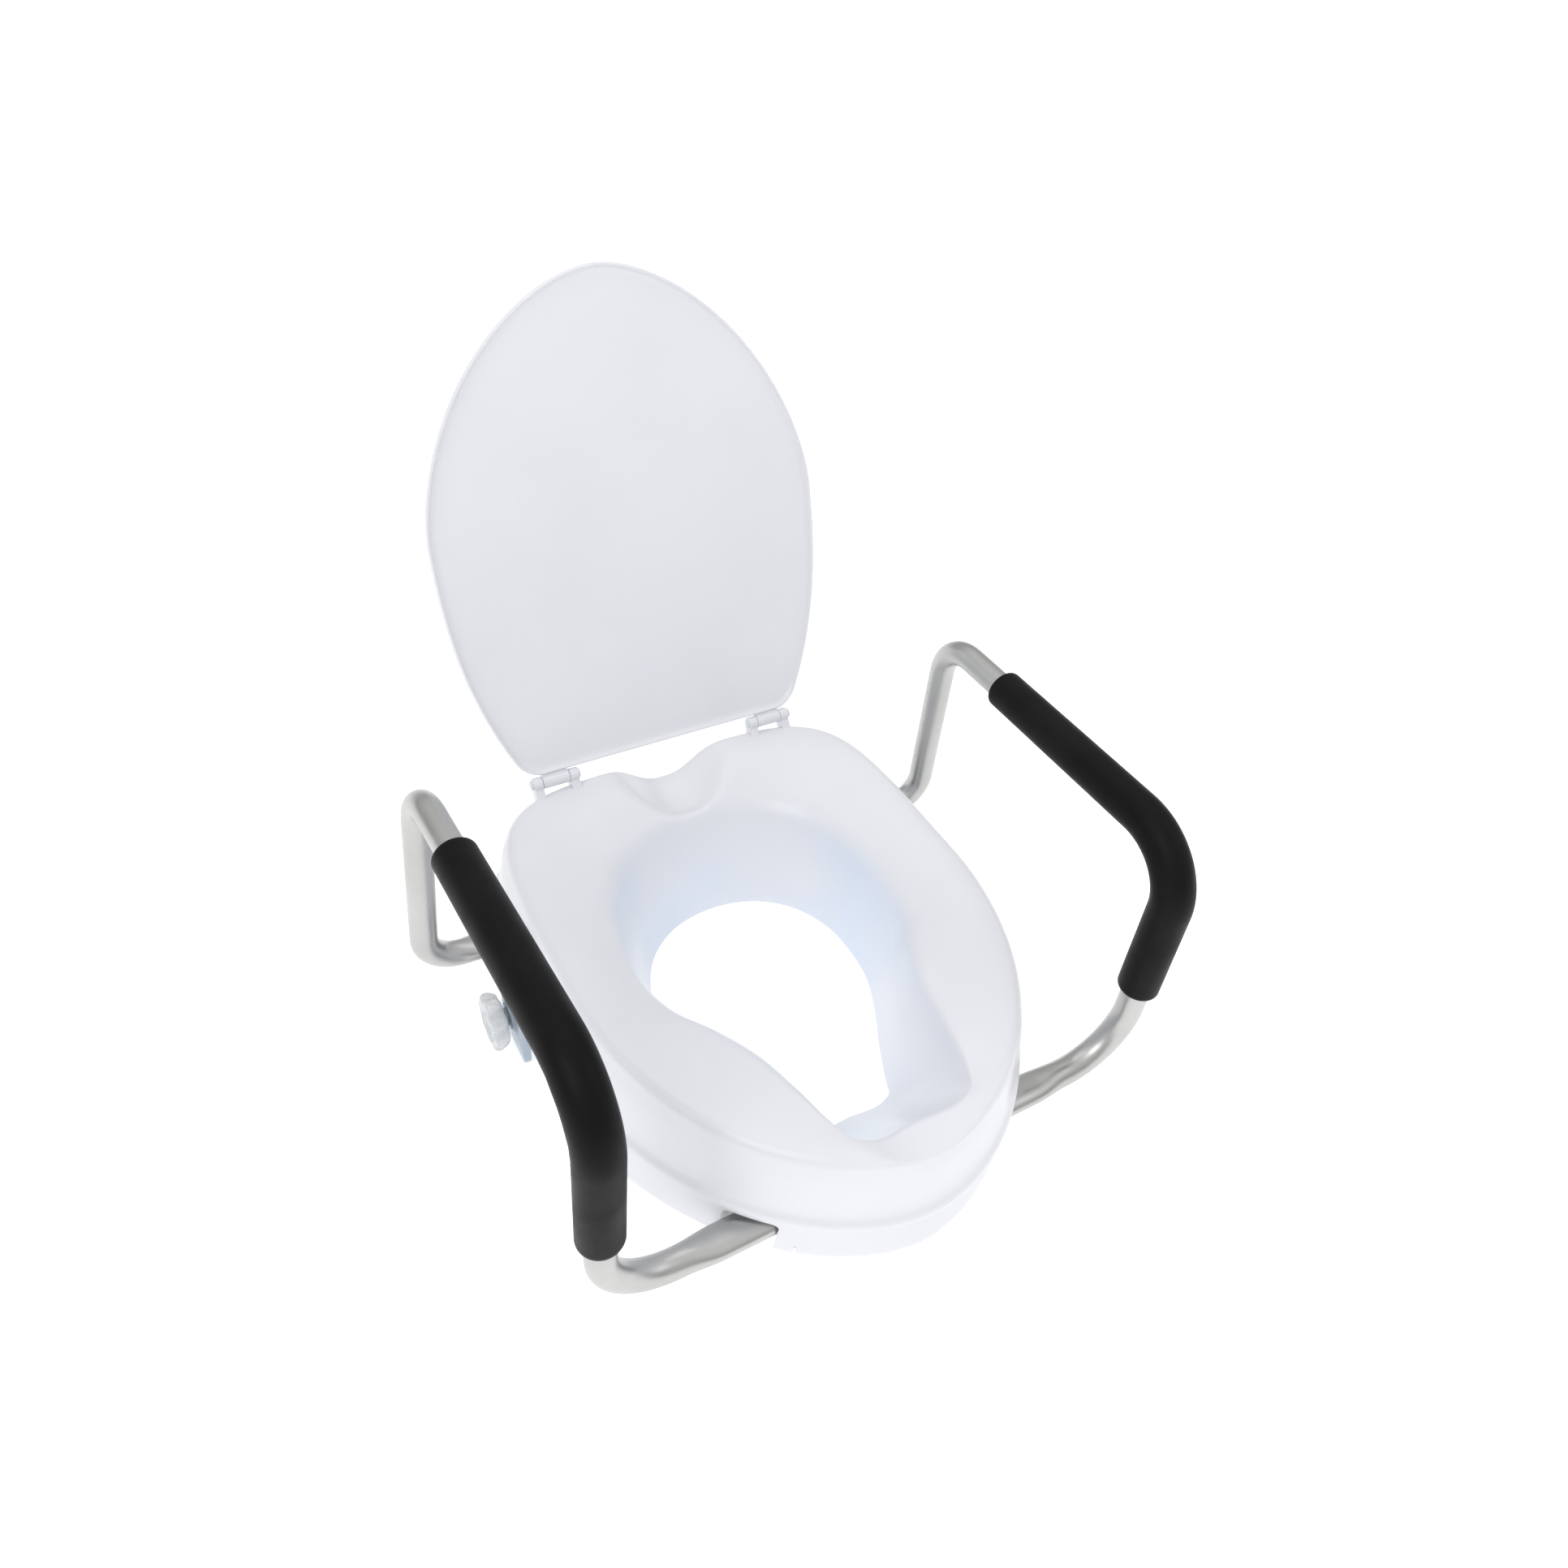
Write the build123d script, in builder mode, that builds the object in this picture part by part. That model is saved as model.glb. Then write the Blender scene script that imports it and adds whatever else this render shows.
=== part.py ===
from build123d import *
import math
import os

# Raised toilet seat with a hinged lid and two removable arms. Millimetres.
# Origin: middle of the plane that rests on the bowl's rim. +X is the sitter's left, -Y is the
# front of the seat, +Z is up.

# ---- driving dimensions -------------------------------------------------------------------
# seat moulding
top_half_width = 178.0      # widest half width of the top edge
foot_half_width = 199.0     # the same at the foot, the wall leans out
top_front = 213.0           # centre to front, top edge
foot_front = 226.0
top_rear = 234.0            # centre to rear, top edge
foot_rear = 237.0
widest_y = 18.0             # where the seat is widest
front_power = 1.95          # how full the front curve is at the top, 2 is an ellipse
front_power_foot = 1.8      # and at the foot
rear_power = 5.0            # how square the rear is
top_z = 112.0               # height of the two lobes
foot_z = 3.0                # foot of the moulding, the pads stand below it
wall = 3.0                  # wall of the hollow moulding
top_round = 9.0             # round along the outer top edge
bead_z = 45.0               # middle of the bead round the wall
bead_height = 10.0
bead_proud = 3.5
band_recess = 1.5           # the band under the bead stands back by this
rear_dip = 30.0             # depth of the dip between the hinges
rear_dip_half = 64.0
rear_dip_from = 120.0       # the dips run outward from here
front_dip_from = -150.0
front_dip = 8.0
front_dip_half = 52.0
dip_over = 6.0              # the dips' outline is taken this far above the top
dip_shoulder = 0.72         # shape of a dip: shares of its half width and of its depth
dip_shoulder_depth = 0.10
dip_flank = 0.40
dip_flank_depth = 0.66
dip_lip_slope = 0.1

# opening through the seat: half width, nose half width, rear, front, where it starts to
# narrow and where it has narrowed, at the foot, at the inner rim and round the dished top
hole_foot = (91.0, 52.0, 129.0, 112.0, 15.0, -85.0)
hole_rim = (116.0, 63.0, 172.0, 188.0, 25.0, -105.0)
hole_dish = (158.0, 100.0, 204.0, 197.0, 25.0, -120.0)
hole_widest_y = 35.0
hole_rear_power = 2.4
hole_nose_power = 4.4
dish_over = 2.0             # the dish's outline is taken this far above the top
rim_rear_z = 86.0           # height of the inner rim at the rear
rim_front_z = 108.0         # and at the front

# lid
lid_angle = 110.6           # how far the lid stands open from closed
lid_half_width = 172.4
lid_foot_half = 129.0       # half width at the hinge edge
lid_widest = 209.7          # distance from the hinge axis to the widest place
lid_length = 411.6          # hinge axis to tip
lid_start = 7.5             # hinge axis to the lid's straight edge
lid_lip_start = 14.0        # hinge axis to where the returned lip begins
lid_low_power = 2.45
lid_high_power = 1.74
lid_wall = 2.6
lid_lip = 4.0               # depth of the returned lip
lid_corner = 14.0
lid_back = 2.0              # inner face of the panel from the hinge axis, away from the seat

# hinge
hinge_x = 105.0
hinge_y = 230.0
hinge_z = 120.0
barrel_radius = 5.8
barrel_length = 41.0
lid_knuckle = 24.0
knuckle_gap = 0.3
pin_radius = 2.5
pin_clearance = 0.05
pin_head_radius = 4.2
pin_head = 1.5
cap_radius = 4.2
cap_length = 2.5
cap_floor = 0.8             # closed end of the cap, and its rounded edge
post_front_y = 214.0        # the seat's hinge posts reach forward to here
post_low_z = 103.0
post_drop = 10.0            # hinge axis to the top of the post's front edge
post_back = 4.0             # the post's rear edge ahead of the axis

# arms
tube_radius = 11.1
tube_wall = 1.5
arm_low_z = 20.0
arm_y = 163.0
arm_front_x = 227.0
arm_rear_x = 249.0
arm_top_front = (225.0, 247.0)    # x, z of the top bar's front corner
arm_top_rear = (238.0, 228.0)     # x, z of its rear corner
arm_top_rear_y = 150.0
bend_front_low = 56.0
bend_front_top = 52.0
bend_rear_top = 42.0
bend_rear_low = 32.0
oval_half_width = 13.5      # flattened ends of the tube
oval_half_height = 8.0
front_flat_x = 141.0        # where each end is fully flattened
rear_flat_x = 203.0
front_round_x = 167.0       # and where it is still round
rear_round_x = 214.0
front_end_x = 48.0          # inner ends of the tube
rear_end_x = 108.0
grip_radius = 16.4
grip_rear_gap = 84.0        # bare tube between the rear corner and the grip
grip_low_z = 103.0          # lower end of the grip on the front leg
grip_clearance = 0.05
slide_gap = 0.3
groove_end_gap = 2.0        # groove beyond the tube's end
cut_past = 30.0             # cutting solids reach this far past the wall
cut_skin = 0.02             # and this far past a face they open
bore_past = 1.0             # and this far past a bored or notched face
plug_lip = 2.0
plug_depth = 14.0

# tube straps under the seat
strap_x_front = 76.0
strap_x_rear = 150.0
strap_length = 30.0
strap_width = 50.0
strap_thick = 3.0
strap_corner = 3.0
strap_room = 1.0            # pocket larger than the strap by this, in all
strap_screw_span = 38.0
screw_radius = 2.0
screw_head_radius = 4.0
screw_head = 2.4
screw_depth = 8.0
screw_clearance = 0.05

# bowl clamps
clamp_y = 106.0
clamp_z = -11.0
bracket_width = 44.0
bracket_thick = 6.0
bracket_top = 10.0          # top face of the bracket's flat arm
bracket_inner_x = 122.0
leg_inner_x = 189.0
leg_thick = 9.0
leg_low_z = -62.0
leg_tip_thick = 5.0
leg_corner = 14.0           # rounded corners of the leg's tip
bracket_corner = 8.0        # and of the flat arm's inner end
boss_radius = 13.0
clamp_screw_radius = 8.0
clamp_thread_depth = 1.0
clamp_pitch = 4.0
thread_start = 2.0          # pad foot to the first thread groove
thread_end = 1.5            # last groove to the knob
clamp_run = 0.1             # running clearance of the screw in the boss
knob_radius = 25.5
knob_thick = 14.0
knob_gap = 4.0              # knob to boss
knob_lobes = 8
knob_lobe_radius = 5.0
knob_edge = 1.8
knob_floor = 4.0            # knob left in front of the screw's end
knob_core = 0.6             # knob's core drawn in by this share of a lobe's radius
boss_stand = 2.0            # boss proud of the leg's outer face
pad_face_x = 168.0
pad_radius = 15.0
pad_thick = 4.0
pad_edge = 1.0
pad_foot_thick = 6.0
neck_radius = 5.0
neck_clearance = 0.3
neck_floor = 1.5            # foot left under the screw's neck
bolt_radius = 3.0
bolt_head_radius = 7.0
bolt_head = 2.8
bolt_depth = 12.0
bolt_clearance = 0.05
bolt_gap = 0.1              # bolt head to the bracket
bolt_end_gap = 1.0          # bolt end to the end of its hole
slot_side = 0.2             # slot to bolt, each side
bolt_x = 145.0
slot_travel = 12.0
pocket_end_gap = 1.0        # bracket to the end of its pocket

# rubber pads under the foot: end, distance from the centre line, place along Y, turn
pad_size = (46.0, 16.0)
rest_pads = (
    ("front", 66.0, -126.0, 0),
    ("side", 146.0, 30.0, 90),
    ("rear", 62.0, 150.0, 0),
)

os.makedirs("parts", exist_ok=True)
SIDES = (("left", 1), ("right", -1))


def save(part, name):
    """Label one finished piece and write its STEP file."""
    part.label = name
    export_step(part, f"parts/{name}.step")


# ---- outlines ------------------------------------------------------------------------------
def seat_outline(z, grow=0.0, steps=24):
    """Outline of the seat wall at a height: an egg, squarer at the rear, as one closed curve."""
    share = (top_z - z) / top_z
    half = top_half_width + (foot_half_width - top_half_width) * share + grow
    front = top_front + (foot_front - top_front) * share + grow
    rear = top_rear + (foot_rear - top_rear) * share + grow
    points = []
    for i in range(2 * steps):
        turn = math.pi * i / steps
        fore_power = front_power + (front_power_foot - front_power) * share
        power = rear_power if math.sin(turn) >= 0 else fore_power
        reach = rear - widest_y if math.sin(turn) >= 0 else front + widest_y
        x = half * math.copysign(abs(math.cos(turn)) ** (2 / power), math.cos(turn))
        y = widest_y + reach * math.copysign(abs(math.sin(turn)) ** (2 / power), math.sin(turn))
        points.append((x, y))
    return Spline(*points, periodic=True)


def keyhole(size, grow=0.0, steps=8):
    """Half of the opening's outline, from the rear to the front on the centre line."""
    half, nose, rear, front, start_y, end_y = size
    points = []
    for i in range(steps):
        turn = math.pi / 2 * i / steps
        x = (half + grow) * math.sin(turn) ** (2 / hole_rear_power)
        reach = rear + grow - hole_widest_y
        points.append((x, hole_widest_y + reach * math.cos(turn) ** (2 / hole_rear_power)))
    for i in range(steps):
        turn = math.pi / 2 * i / steps
        reach = front + grow + hole_widest_y
        y = hole_widest_y - reach * math.sin(turn) ** (2 / hole_nose_power)
        share = min(1.0, max(0.0, (start_y - y) / (start_y - end_y)))
        narrow = share * share * (3 - 2 * share)
        wide = half + grow + (nose - half) * narrow
        points.append((wide * math.cos(turn) ** (2 / hole_nose_power), y))
    return Spline(*points, (0, -front - grow), tangents=((1, 0), (-1, 0)))


rim_tilt = math.degrees(math.atan2(rim_rear_z - rim_front_z, hole_rim[2] + hole_rim[3]))
rim_middle_z = rim_rear_z + (rim_front_z - rim_rear_z) * hole_rim[2] / (hole_rim[2] + hole_rim[3])


def rim_plane(lift=0.0):
    """Leaning plane of the inner rim, low at the rear and high at the front."""
    return Plane.XY.offset(rim_middle_z + lift).rotated((rim_tilt, 0, 0))


# ---- seat moulding -------------------------------------------------------------------------
def wall_block(low, high, grow):
    """Solid between two heights of the seat wall."""
    with BuildPart() as block:
        for z in (low, high):
            with BuildSketch(Plane.XY.offset(z)):
                with BuildLine():
                    seat_outline(z, grow)
                make_face()
        loft(ruled=True)
    return block.part


def opening_block(grow):
    """Everything the opening takes away: the funnel and the dished top around it."""
    with BuildPart() as block:
        sections = (
            (Plane.XY.offset(-cut_past), hole_foot),
            (Plane.XY.offset(foot_z), hole_foot),
            (rim_plane(-grow), hole_rim),
            (Plane.XY.offset(top_z + dish_over - grow), hole_dish),
            (Plane.XY.offset(top_z + cut_past), hole_dish),
        )
        for lower, upper in zip(sections, sections[1:]):
            for plane, size in (lower, upper):
                with BuildSketch(plane):
                    with BuildLine():
                        keyhole(size, grow)
                        mirror(about=Plane.YZ)
                    make_face()
            loft(ruled=True)
    return block.part


def valley(half, depth, near, far, grow):
    """Smooth trough across the rim, its axis along Y, between two places."""
    with BuildPart() as block:
        with BuildSketch(Plane.XZ.offset(-far)):
            with BuildLine():
                low = top_z - depth - grow
                rise = (
                    (-half, top_z + dip_over - grow),
                    (-dip_shoulder * half, top_z - dip_shoulder_depth * depth - grow),
                    (-dip_flank * half, top_z - dip_flank_depth * depth - grow),
                    (0, low),
                )
                Spline(*rise, tangents=((1, -dip_lip_slope), (1, 0)))
                Spline(*[(-x, z) for x, z in reversed(rise)], tangents=((1, 0), (1, dip_lip_slope)))
                Polyline(rise[0], (-half, top_z + cut_past), (half, top_z + cut_past), (half, rise[0][1]))
            make_face()
        extrude(amount=far - near)
    return block.part


def tube_grooves(grow):
    """Channels in the underside, open downward, that the flattened tube ends slide into."""
    with BuildPart() as block:
        for _, side in SIDES:
            for y, end in ((-arm_y, front_end_x), (arm_y, rear_end_x)):
                near = end - groove_end_gap - grow
                far = foot_half_width + cut_past
                top = arm_low_z + oval_half_height + slide_gap + grow
                with Locations((side * (near + far) / 2, y, top / 2)):
                    Box(far - near, 2 * (oval_half_width + slide_gap + grow), top + cut_skin)
    return block.part


def strap_places():
    """Middles of the four straps."""
    places = []
    for _, side in SIDES:
        places.append((side * strap_x_front, -arm_y))
        places.append((side * strap_x_rear, arm_y))
    return places


strap_top = arm_low_z - oval_half_height - slide_gap


def underside_pockets(grow):
    """Recesses for the straps and for the flat arms of the clamp brackets."""
    with BuildPart() as block:
        for x, y in strap_places():
            with Locations((x, y, (strap_top + grow) / 2)):
                Box(
                    strap_length + strap_room + 2 * grow,
                    strap_width + strap_room + 2 * grow,
                    strap_top + grow,
                )
        for _, side in SIDES:
            inner = bracket_inner_x - slot_travel / 2 - pocket_end_gap - grow
            outer = foot_half_width + cut_past
            ceiling = bracket_top + slide_gap + grow
            with Locations((side * (inner + outer) / 2, clamp_y, ceiling / 2)):
                Box(outer - inner, bracket_width + 2 * (slide_gap + grow), ceiling)
    return block.part


def hinge_posts():
    """The seat's own hinge barrels, two to each hinge, with the webs that carry them."""
    web = (
        (hinge_y - barrel_radius, hinge_z),
        (post_front_y, hinge_z - post_drop),
        (post_front_y, post_low_z),
        (hinge_y - post_back, post_low_z),
        (hinge_y + barrel_radius, hinge_z),
    )
    length = (barrel_length - lid_knuckle) / 2 - knuckle_gap
    with BuildPart() as posts:
        for middle in (-hinge_x, hinge_x):
            for end in (-1, 1):
                x = middle + end * (barrel_length - length) / 2
                with BuildSketch(Plane.YZ.offset(x)):
                    with BuildLine():
                        Polyline(*web, close=True)
                    make_face()
                    with Locations((hinge_y, hinge_z)):
                        Circle(barrel_radius)
                        Circle(pin_radius + pin_clearance, mode=Mode.SUBTRACT)
                extrude(amount=length / 2, both=True)
    return posts.part


def screw_places():
    """Places of the eight strap screws."""
    half = strap_screw_span / 2
    return [(x, y + end * half) for x, y in strap_places() for end in (-1, 1)]


with BuildPart() as cavity:
    add(wall_block(foot_z + wall, bead_z, -wall - band_recess))
    add(wall_block(bead_z, top_z - wall, -wall))
    fillet(cavity.edges().group_by(Axis.Z)[-1], radius=top_round - wall)
    add(opening_block(wall), mode=Mode.SUBTRACT)
    add(valley(rear_dip_half, rear_dip, rear_dip_from, foot_rear + cut_past, wall), mode=Mode.SUBTRACT)
    add(
        valley(front_dip_half, front_dip, -foot_front - cut_past, front_dip_from, wall),
        mode=Mode.SUBTRACT,
    )
    add(tube_grooves(wall), mode=Mode.SUBTRACT)
    add(underside_pockets(wall), mode=Mode.SUBTRACT)
hollow = cavity.part.solids().sort_by(SortBy.VOLUME)[-1]

with BuildPart() as seat_body:
    add(wall_block(foot_z, bead_z, -band_recess))
    add(wall_block(bead_z, top_z, 0.0))
    fillet(seat_body.edges().group_by(Axis.Z)[-1], radius=top_round)
    add(wall_block(bead_z - bead_height / 2, bead_z + bead_height / 2, bead_proud))
    add(hollow, mode=Mode.SUBTRACT)
    add(opening_block(0.0), mode=Mode.SUBTRACT)
    add(valley(rear_dip_half, rear_dip, rear_dip_from, foot_rear + cut_past, 0.0), mode=Mode.SUBTRACT)
    add(
        valley(front_dip_half, front_dip, -foot_front - cut_past, front_dip_from, 0.0),
        mode=Mode.SUBTRACT,
    )
    add(tube_grooves(0.0), mode=Mode.SUBTRACT)
    add(underside_pockets(0.0), mode=Mode.SUBTRACT)
    add(hinge_posts())
    with Locations([(x, y, strap_top) for x, y in screw_places()]):
        Cylinder(screw_radius + screw_clearance, 2 * screw_depth, mode=Mode.SUBTRACT)
    with Locations([(side * bolt_x, clamp_y, bracket_top) for _, side in SIDES]):
        Cylinder(bolt_radius + bolt_clearance, 2 * bolt_depth, mode=Mode.SUBTRACT)
save(seat_body.part, "seat_body")

# ---- rubber pads on the bowl ---------------------------------------------------------------
for end, pad_x, pad_y, pad_turn in rest_pads:
    for word, side in SIDES:
        with BuildPart() as rest_pad:
            with BuildSketch():
                with Locations((side * pad_x, pad_y)):
                    SlotOverall(*pad_size, rotation=pad_turn)
            extrude(amount=foot_z)
        save(rest_pad.part, f"rest_pad_{end}_{word}")

# ---- lid -----------------------------------------------------------------------------------
lean = math.radians(lid_angle)
lid_plane = Plane(
    origin=(0, hinge_y, hinge_z), x_dir=(1, 0, 0), z_dir=(0, -math.sin(lean), -math.cos(lean))
)


def lid_outline(inset=0.0, steps=9):
    """Curved outline of the lid in its own plane, from the right end of the edge to the left."""
    half = lid_half_width - inset
    foot = lid_foot_half - inset
    tip = lid_length - inset
    points = []
    for i in range(steps):
        y = lid_start + (lid_widest - lid_start) * i / steps
        bulge = 1 - ((lid_widest - y) / (lid_widest - lid_start)) ** lid_low_power
        points.append((foot + (half - foot) * bulge, y))
    for i in range(steps):
        turn = math.pi / 2 * i / steps
        x = half * math.cos(turn) ** (2 / lid_high_power)
        points.append((x, lid_widest + (tip - lid_widest) * math.sin(turn) ** (2 / lid_high_power)))
    mirrored = [(-x, y) for x, y in reversed(points)]
    return Spline(*points, (0, tip), *mirrored)


with BuildPart() as lid:
    with BuildSketch(lid_plane.offset(-lid_back - lid_wall)) as lid_face:
        with BuildLine():
            rim = lid_outline()
            Line(rim @ 1, rim @ 0)
        make_face()
        fillet(lid_face.vertices().group_by(Axis.Y)[0], radius=lid_corner)
        with Locations((-hinge_x, lid_start / 2 + bore_past), (hinge_x, lid_start / 2 + bore_past)):
            Rectangle(lid_knuckle, lid_start + 2 * bore_past)
    extrude(amount=lid_wall + lid_lip)
    with BuildSketch(lid_plane.offset(-lid_back)):
        with BuildLine():
            inner_rim = lid_outline(lid_wall)
            Line(inner_rim @ 1, inner_rim @ 0)
        make_face()
    extrude(amount=2 * lid_lip, mode=Mode.SUBTRACT)
    with BuildSketch(lid_plane.offset(-lid_back)):
        Rectangle(3 * lid_half_width, 2 * lid_lip_start)
    extrude(amount=2 * lid_lip, mode=Mode.SUBTRACT)
    for middle in (-hinge_x, hinge_x):
        with BuildSketch(Plane.YZ.offset(middle)):
            with Locations((hinge_y, hinge_z)):
                Circle(barrel_radius)
        extrude(amount=lid_knuckle / 2, both=True)
        with BuildSketch(Plane.YZ.offset(middle)):
            with Locations((hinge_y, hinge_z)):
                Circle(pin_radius + pin_clearance)
        extrude(amount=lid_knuckle, both=True, mode=Mode.SUBTRACT)
save(lid.part, "lid")

# ---- hinge pins and their push-on caps -----------------------------------------------------
for word, side in SIDES:
    inner = side * (hinge_x - barrel_length / 2)
    outer = side * (hinge_x + barrel_length / 2)
    with BuildPart() as hinge_pin:
        with BuildSketch(Plane.YZ.offset(inner)):
            with Locations((hinge_y, hinge_z)):
                Circle(pin_head_radius)
        extrude(amount=-side * pin_head)
        with BuildSketch(Plane.YZ.offset(inner)):
            with Locations((hinge_y, hinge_z)):
                Circle(pin_radius)
        extrude(amount=side * (barrel_length + cap_length - cap_floor))
    save(hinge_pin.part, f"hinge_pin_{word}")
    with BuildPart() as pin_cap:
        with BuildSketch(Plane.YZ.offset(outer)):
            with Locations((hinge_y, hinge_z)):
                Circle(cap_radius)
        extrude(amount=side * cap_length)
        with BuildSketch(Plane.YZ.offset(outer)):
            with Locations((hinge_y, hinge_z)):
                Circle(pin_radius + pin_clearance)
        extrude(amount=side * (cap_length - cap_floor), mode=Mode.SUBTRACT)
        fillet(pin_cap.edges().group_by(Axis.X)[-1 if side > 0 else 0], radius=cap_floor)
    save(pin_cap.part, f"pin_cap_{word}")


# ---- arms ----------------------------------------------------------------------------------
def arm_corners(side):
    """Corner points of the tube's centre line, from the front end round to the rear end."""
    return [
        (side * front_round_x, -arm_y, arm_low_z),
        (side * arm_front_x, -arm_y, arm_low_z),
        (side * arm_top_front[0], -arm_y, arm_top_front[1]),
        (side * arm_top_rear[0], arm_top_rear_y, arm_top_rear[1]),
        (side * arm_rear_x, arm_y, arm_low_z),
        (side * rear_round_x, arm_y, arm_low_z),
    ]


def tube_solid(side, shrink):
    """The bent tube as a full bar, round along the bends and oval at both ends."""
    radius = tube_radius - shrink
    oval = (oval_half_width - shrink, oval_half_height - shrink)
    with BuildPart() as bar:
        with BuildLine() as route:
            FilletPolyline(
                *arm_corners(side),
                radius=[bend_front_low, bend_front_top, bend_rear_top, bend_rear_low],
            )
        with BuildSketch(Plane(route.line @ 0, z_dir=route.line % 0)):
            Circle(radius)
        sweep(path=route.line)
        for y, round_x, flat_x, end_x in (
            (-arm_y, front_round_x, front_flat_x, front_end_x),
            (arm_y, rear_round_x, rear_flat_x, rear_end_x),
        ):
            with BuildSketch(Plane.YZ.offset(side * round_x)):
                with Locations((y, arm_low_z)):
                    Circle(radius)
            with BuildSketch(Plane.YZ.offset(side * flat_x)):
                with Locations((y, arm_low_z)):
                    Ellipse(*oval)
            loft()
            with BuildSketch(Plane.YZ.offset(side * flat_x)):
                with Locations((y, arm_low_z)):
                    Ellipse(*oval)
            extrude(amount=side * (end_x - flat_x))
    return bar.part


def grip_route(side):
    """Corner points of the grip: along the top bar, round the front bend and down the leg."""
    _, low, front, rear, _, _ = arm_corners(side)
    start = Vector(*rear) + (Vector(*front) - Vector(*rear)).normalized() * grip_rear_gap
    share = (front[2] - grip_low_z) / (front[2] - low[2])
    end = Vector(*front) + (Vector(*low) - Vector(*front)) * share
    return [start, Vector(*front), end]


for word, side in SIDES:
    outer_bar = tube_solid(side, 0.0)
    inner_bar = tube_solid(side, tube_wall)
    with BuildPart() as arm_tube:
        add(outer_bar)
        add(inner_bar, mode=Mode.SUBTRACT)
    save(arm_tube.part, f"arm_tube_{word}")

    with BuildPart() as arm_grip:
        with BuildLine() as grip_line:
            FilletPolyline(*grip_route(side), radius=bend_front_top)
        with BuildSketch(Plane(grip_line.line @ 0, z_dir=grip_line.line % 0)):
            Circle(grip_radius)
            Circle(tube_radius + grip_clearance, mode=Mode.SUBTRACT)
        sweep(path=grip_line.line)
    save(arm_grip.part, f"arm_grip_{word}")

    for end, y, end_x in (("front", -arm_y, front_end_x), ("rear", arm_y, rear_end_x)):
        with BuildPart() as tube_plug:
            with BuildSketch(Plane.YZ.offset(side * end_x)):
                with Locations((y, arm_low_z)):
                    Ellipse(oval_half_width, oval_half_height)
            extrude(amount=-side * plug_lip)
            with BuildSketch(Plane.YZ.offset(side * end_x)):
                with Locations((y, arm_low_z)):
                    Ellipse(
                        oval_half_width - tube_wall - grip_clearance,
                        oval_half_height - tube_wall - grip_clearance,
                    )
            extrude(amount=side * plug_depth)
        save(tube_plug.part, f"tube_plug_{end}_{word}")

# ---- straps that hold the tubes up in the grooves, and their screws ------------------------
for (x, y), name in zip(strap_places(), ("front_left", "rear_left", "front_right", "rear_right")):
    with BuildPart() as tube_strap:
        with BuildSketch(Plane.XY.offset(strap_top)):
            with Locations((x, y)):
                RectangleRounded(strap_length, strap_width, strap_corner)
        extrude(amount=-strap_thick)
        with Locations([(x, y + end * strap_screw_span / 2, strap_top) for end in (-1, 1)]):
            Cylinder(screw_radius + screw_clearance, 4 * strap_thick, mode=Mode.SUBTRACT)
    save(tube_strap.part, f"tube_strap_{name}")

with BuildPart() as strap_screws:
    with BuildSketch(Plane.XY.offset(strap_top - strap_thick)):
        with Locations(screw_places()):
            Circle(screw_head_radius)
    extrude(amount=-screw_head)
    with BuildSketch(Plane.XY.offset(strap_top - strap_thick)):
        with Locations(screw_places()):
            Circle(screw_radius)
    extrude(amount=strap_thick + screw_depth)
save(strap_screws.part, "strap_screws")

# ---- bowl clamps ---------------------------------------------------------------------------
leg_outer_x = leg_inner_x + leg_thick
boss_outer_x = leg_outer_x + boss_stand
knob_inner_x = boss_outer_x + knob_gap
foot_outer_x = pad_face_x + pad_thick + pad_foot_thick
clamp_slot = 2 * (bolt_radius + slot_side)

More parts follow.
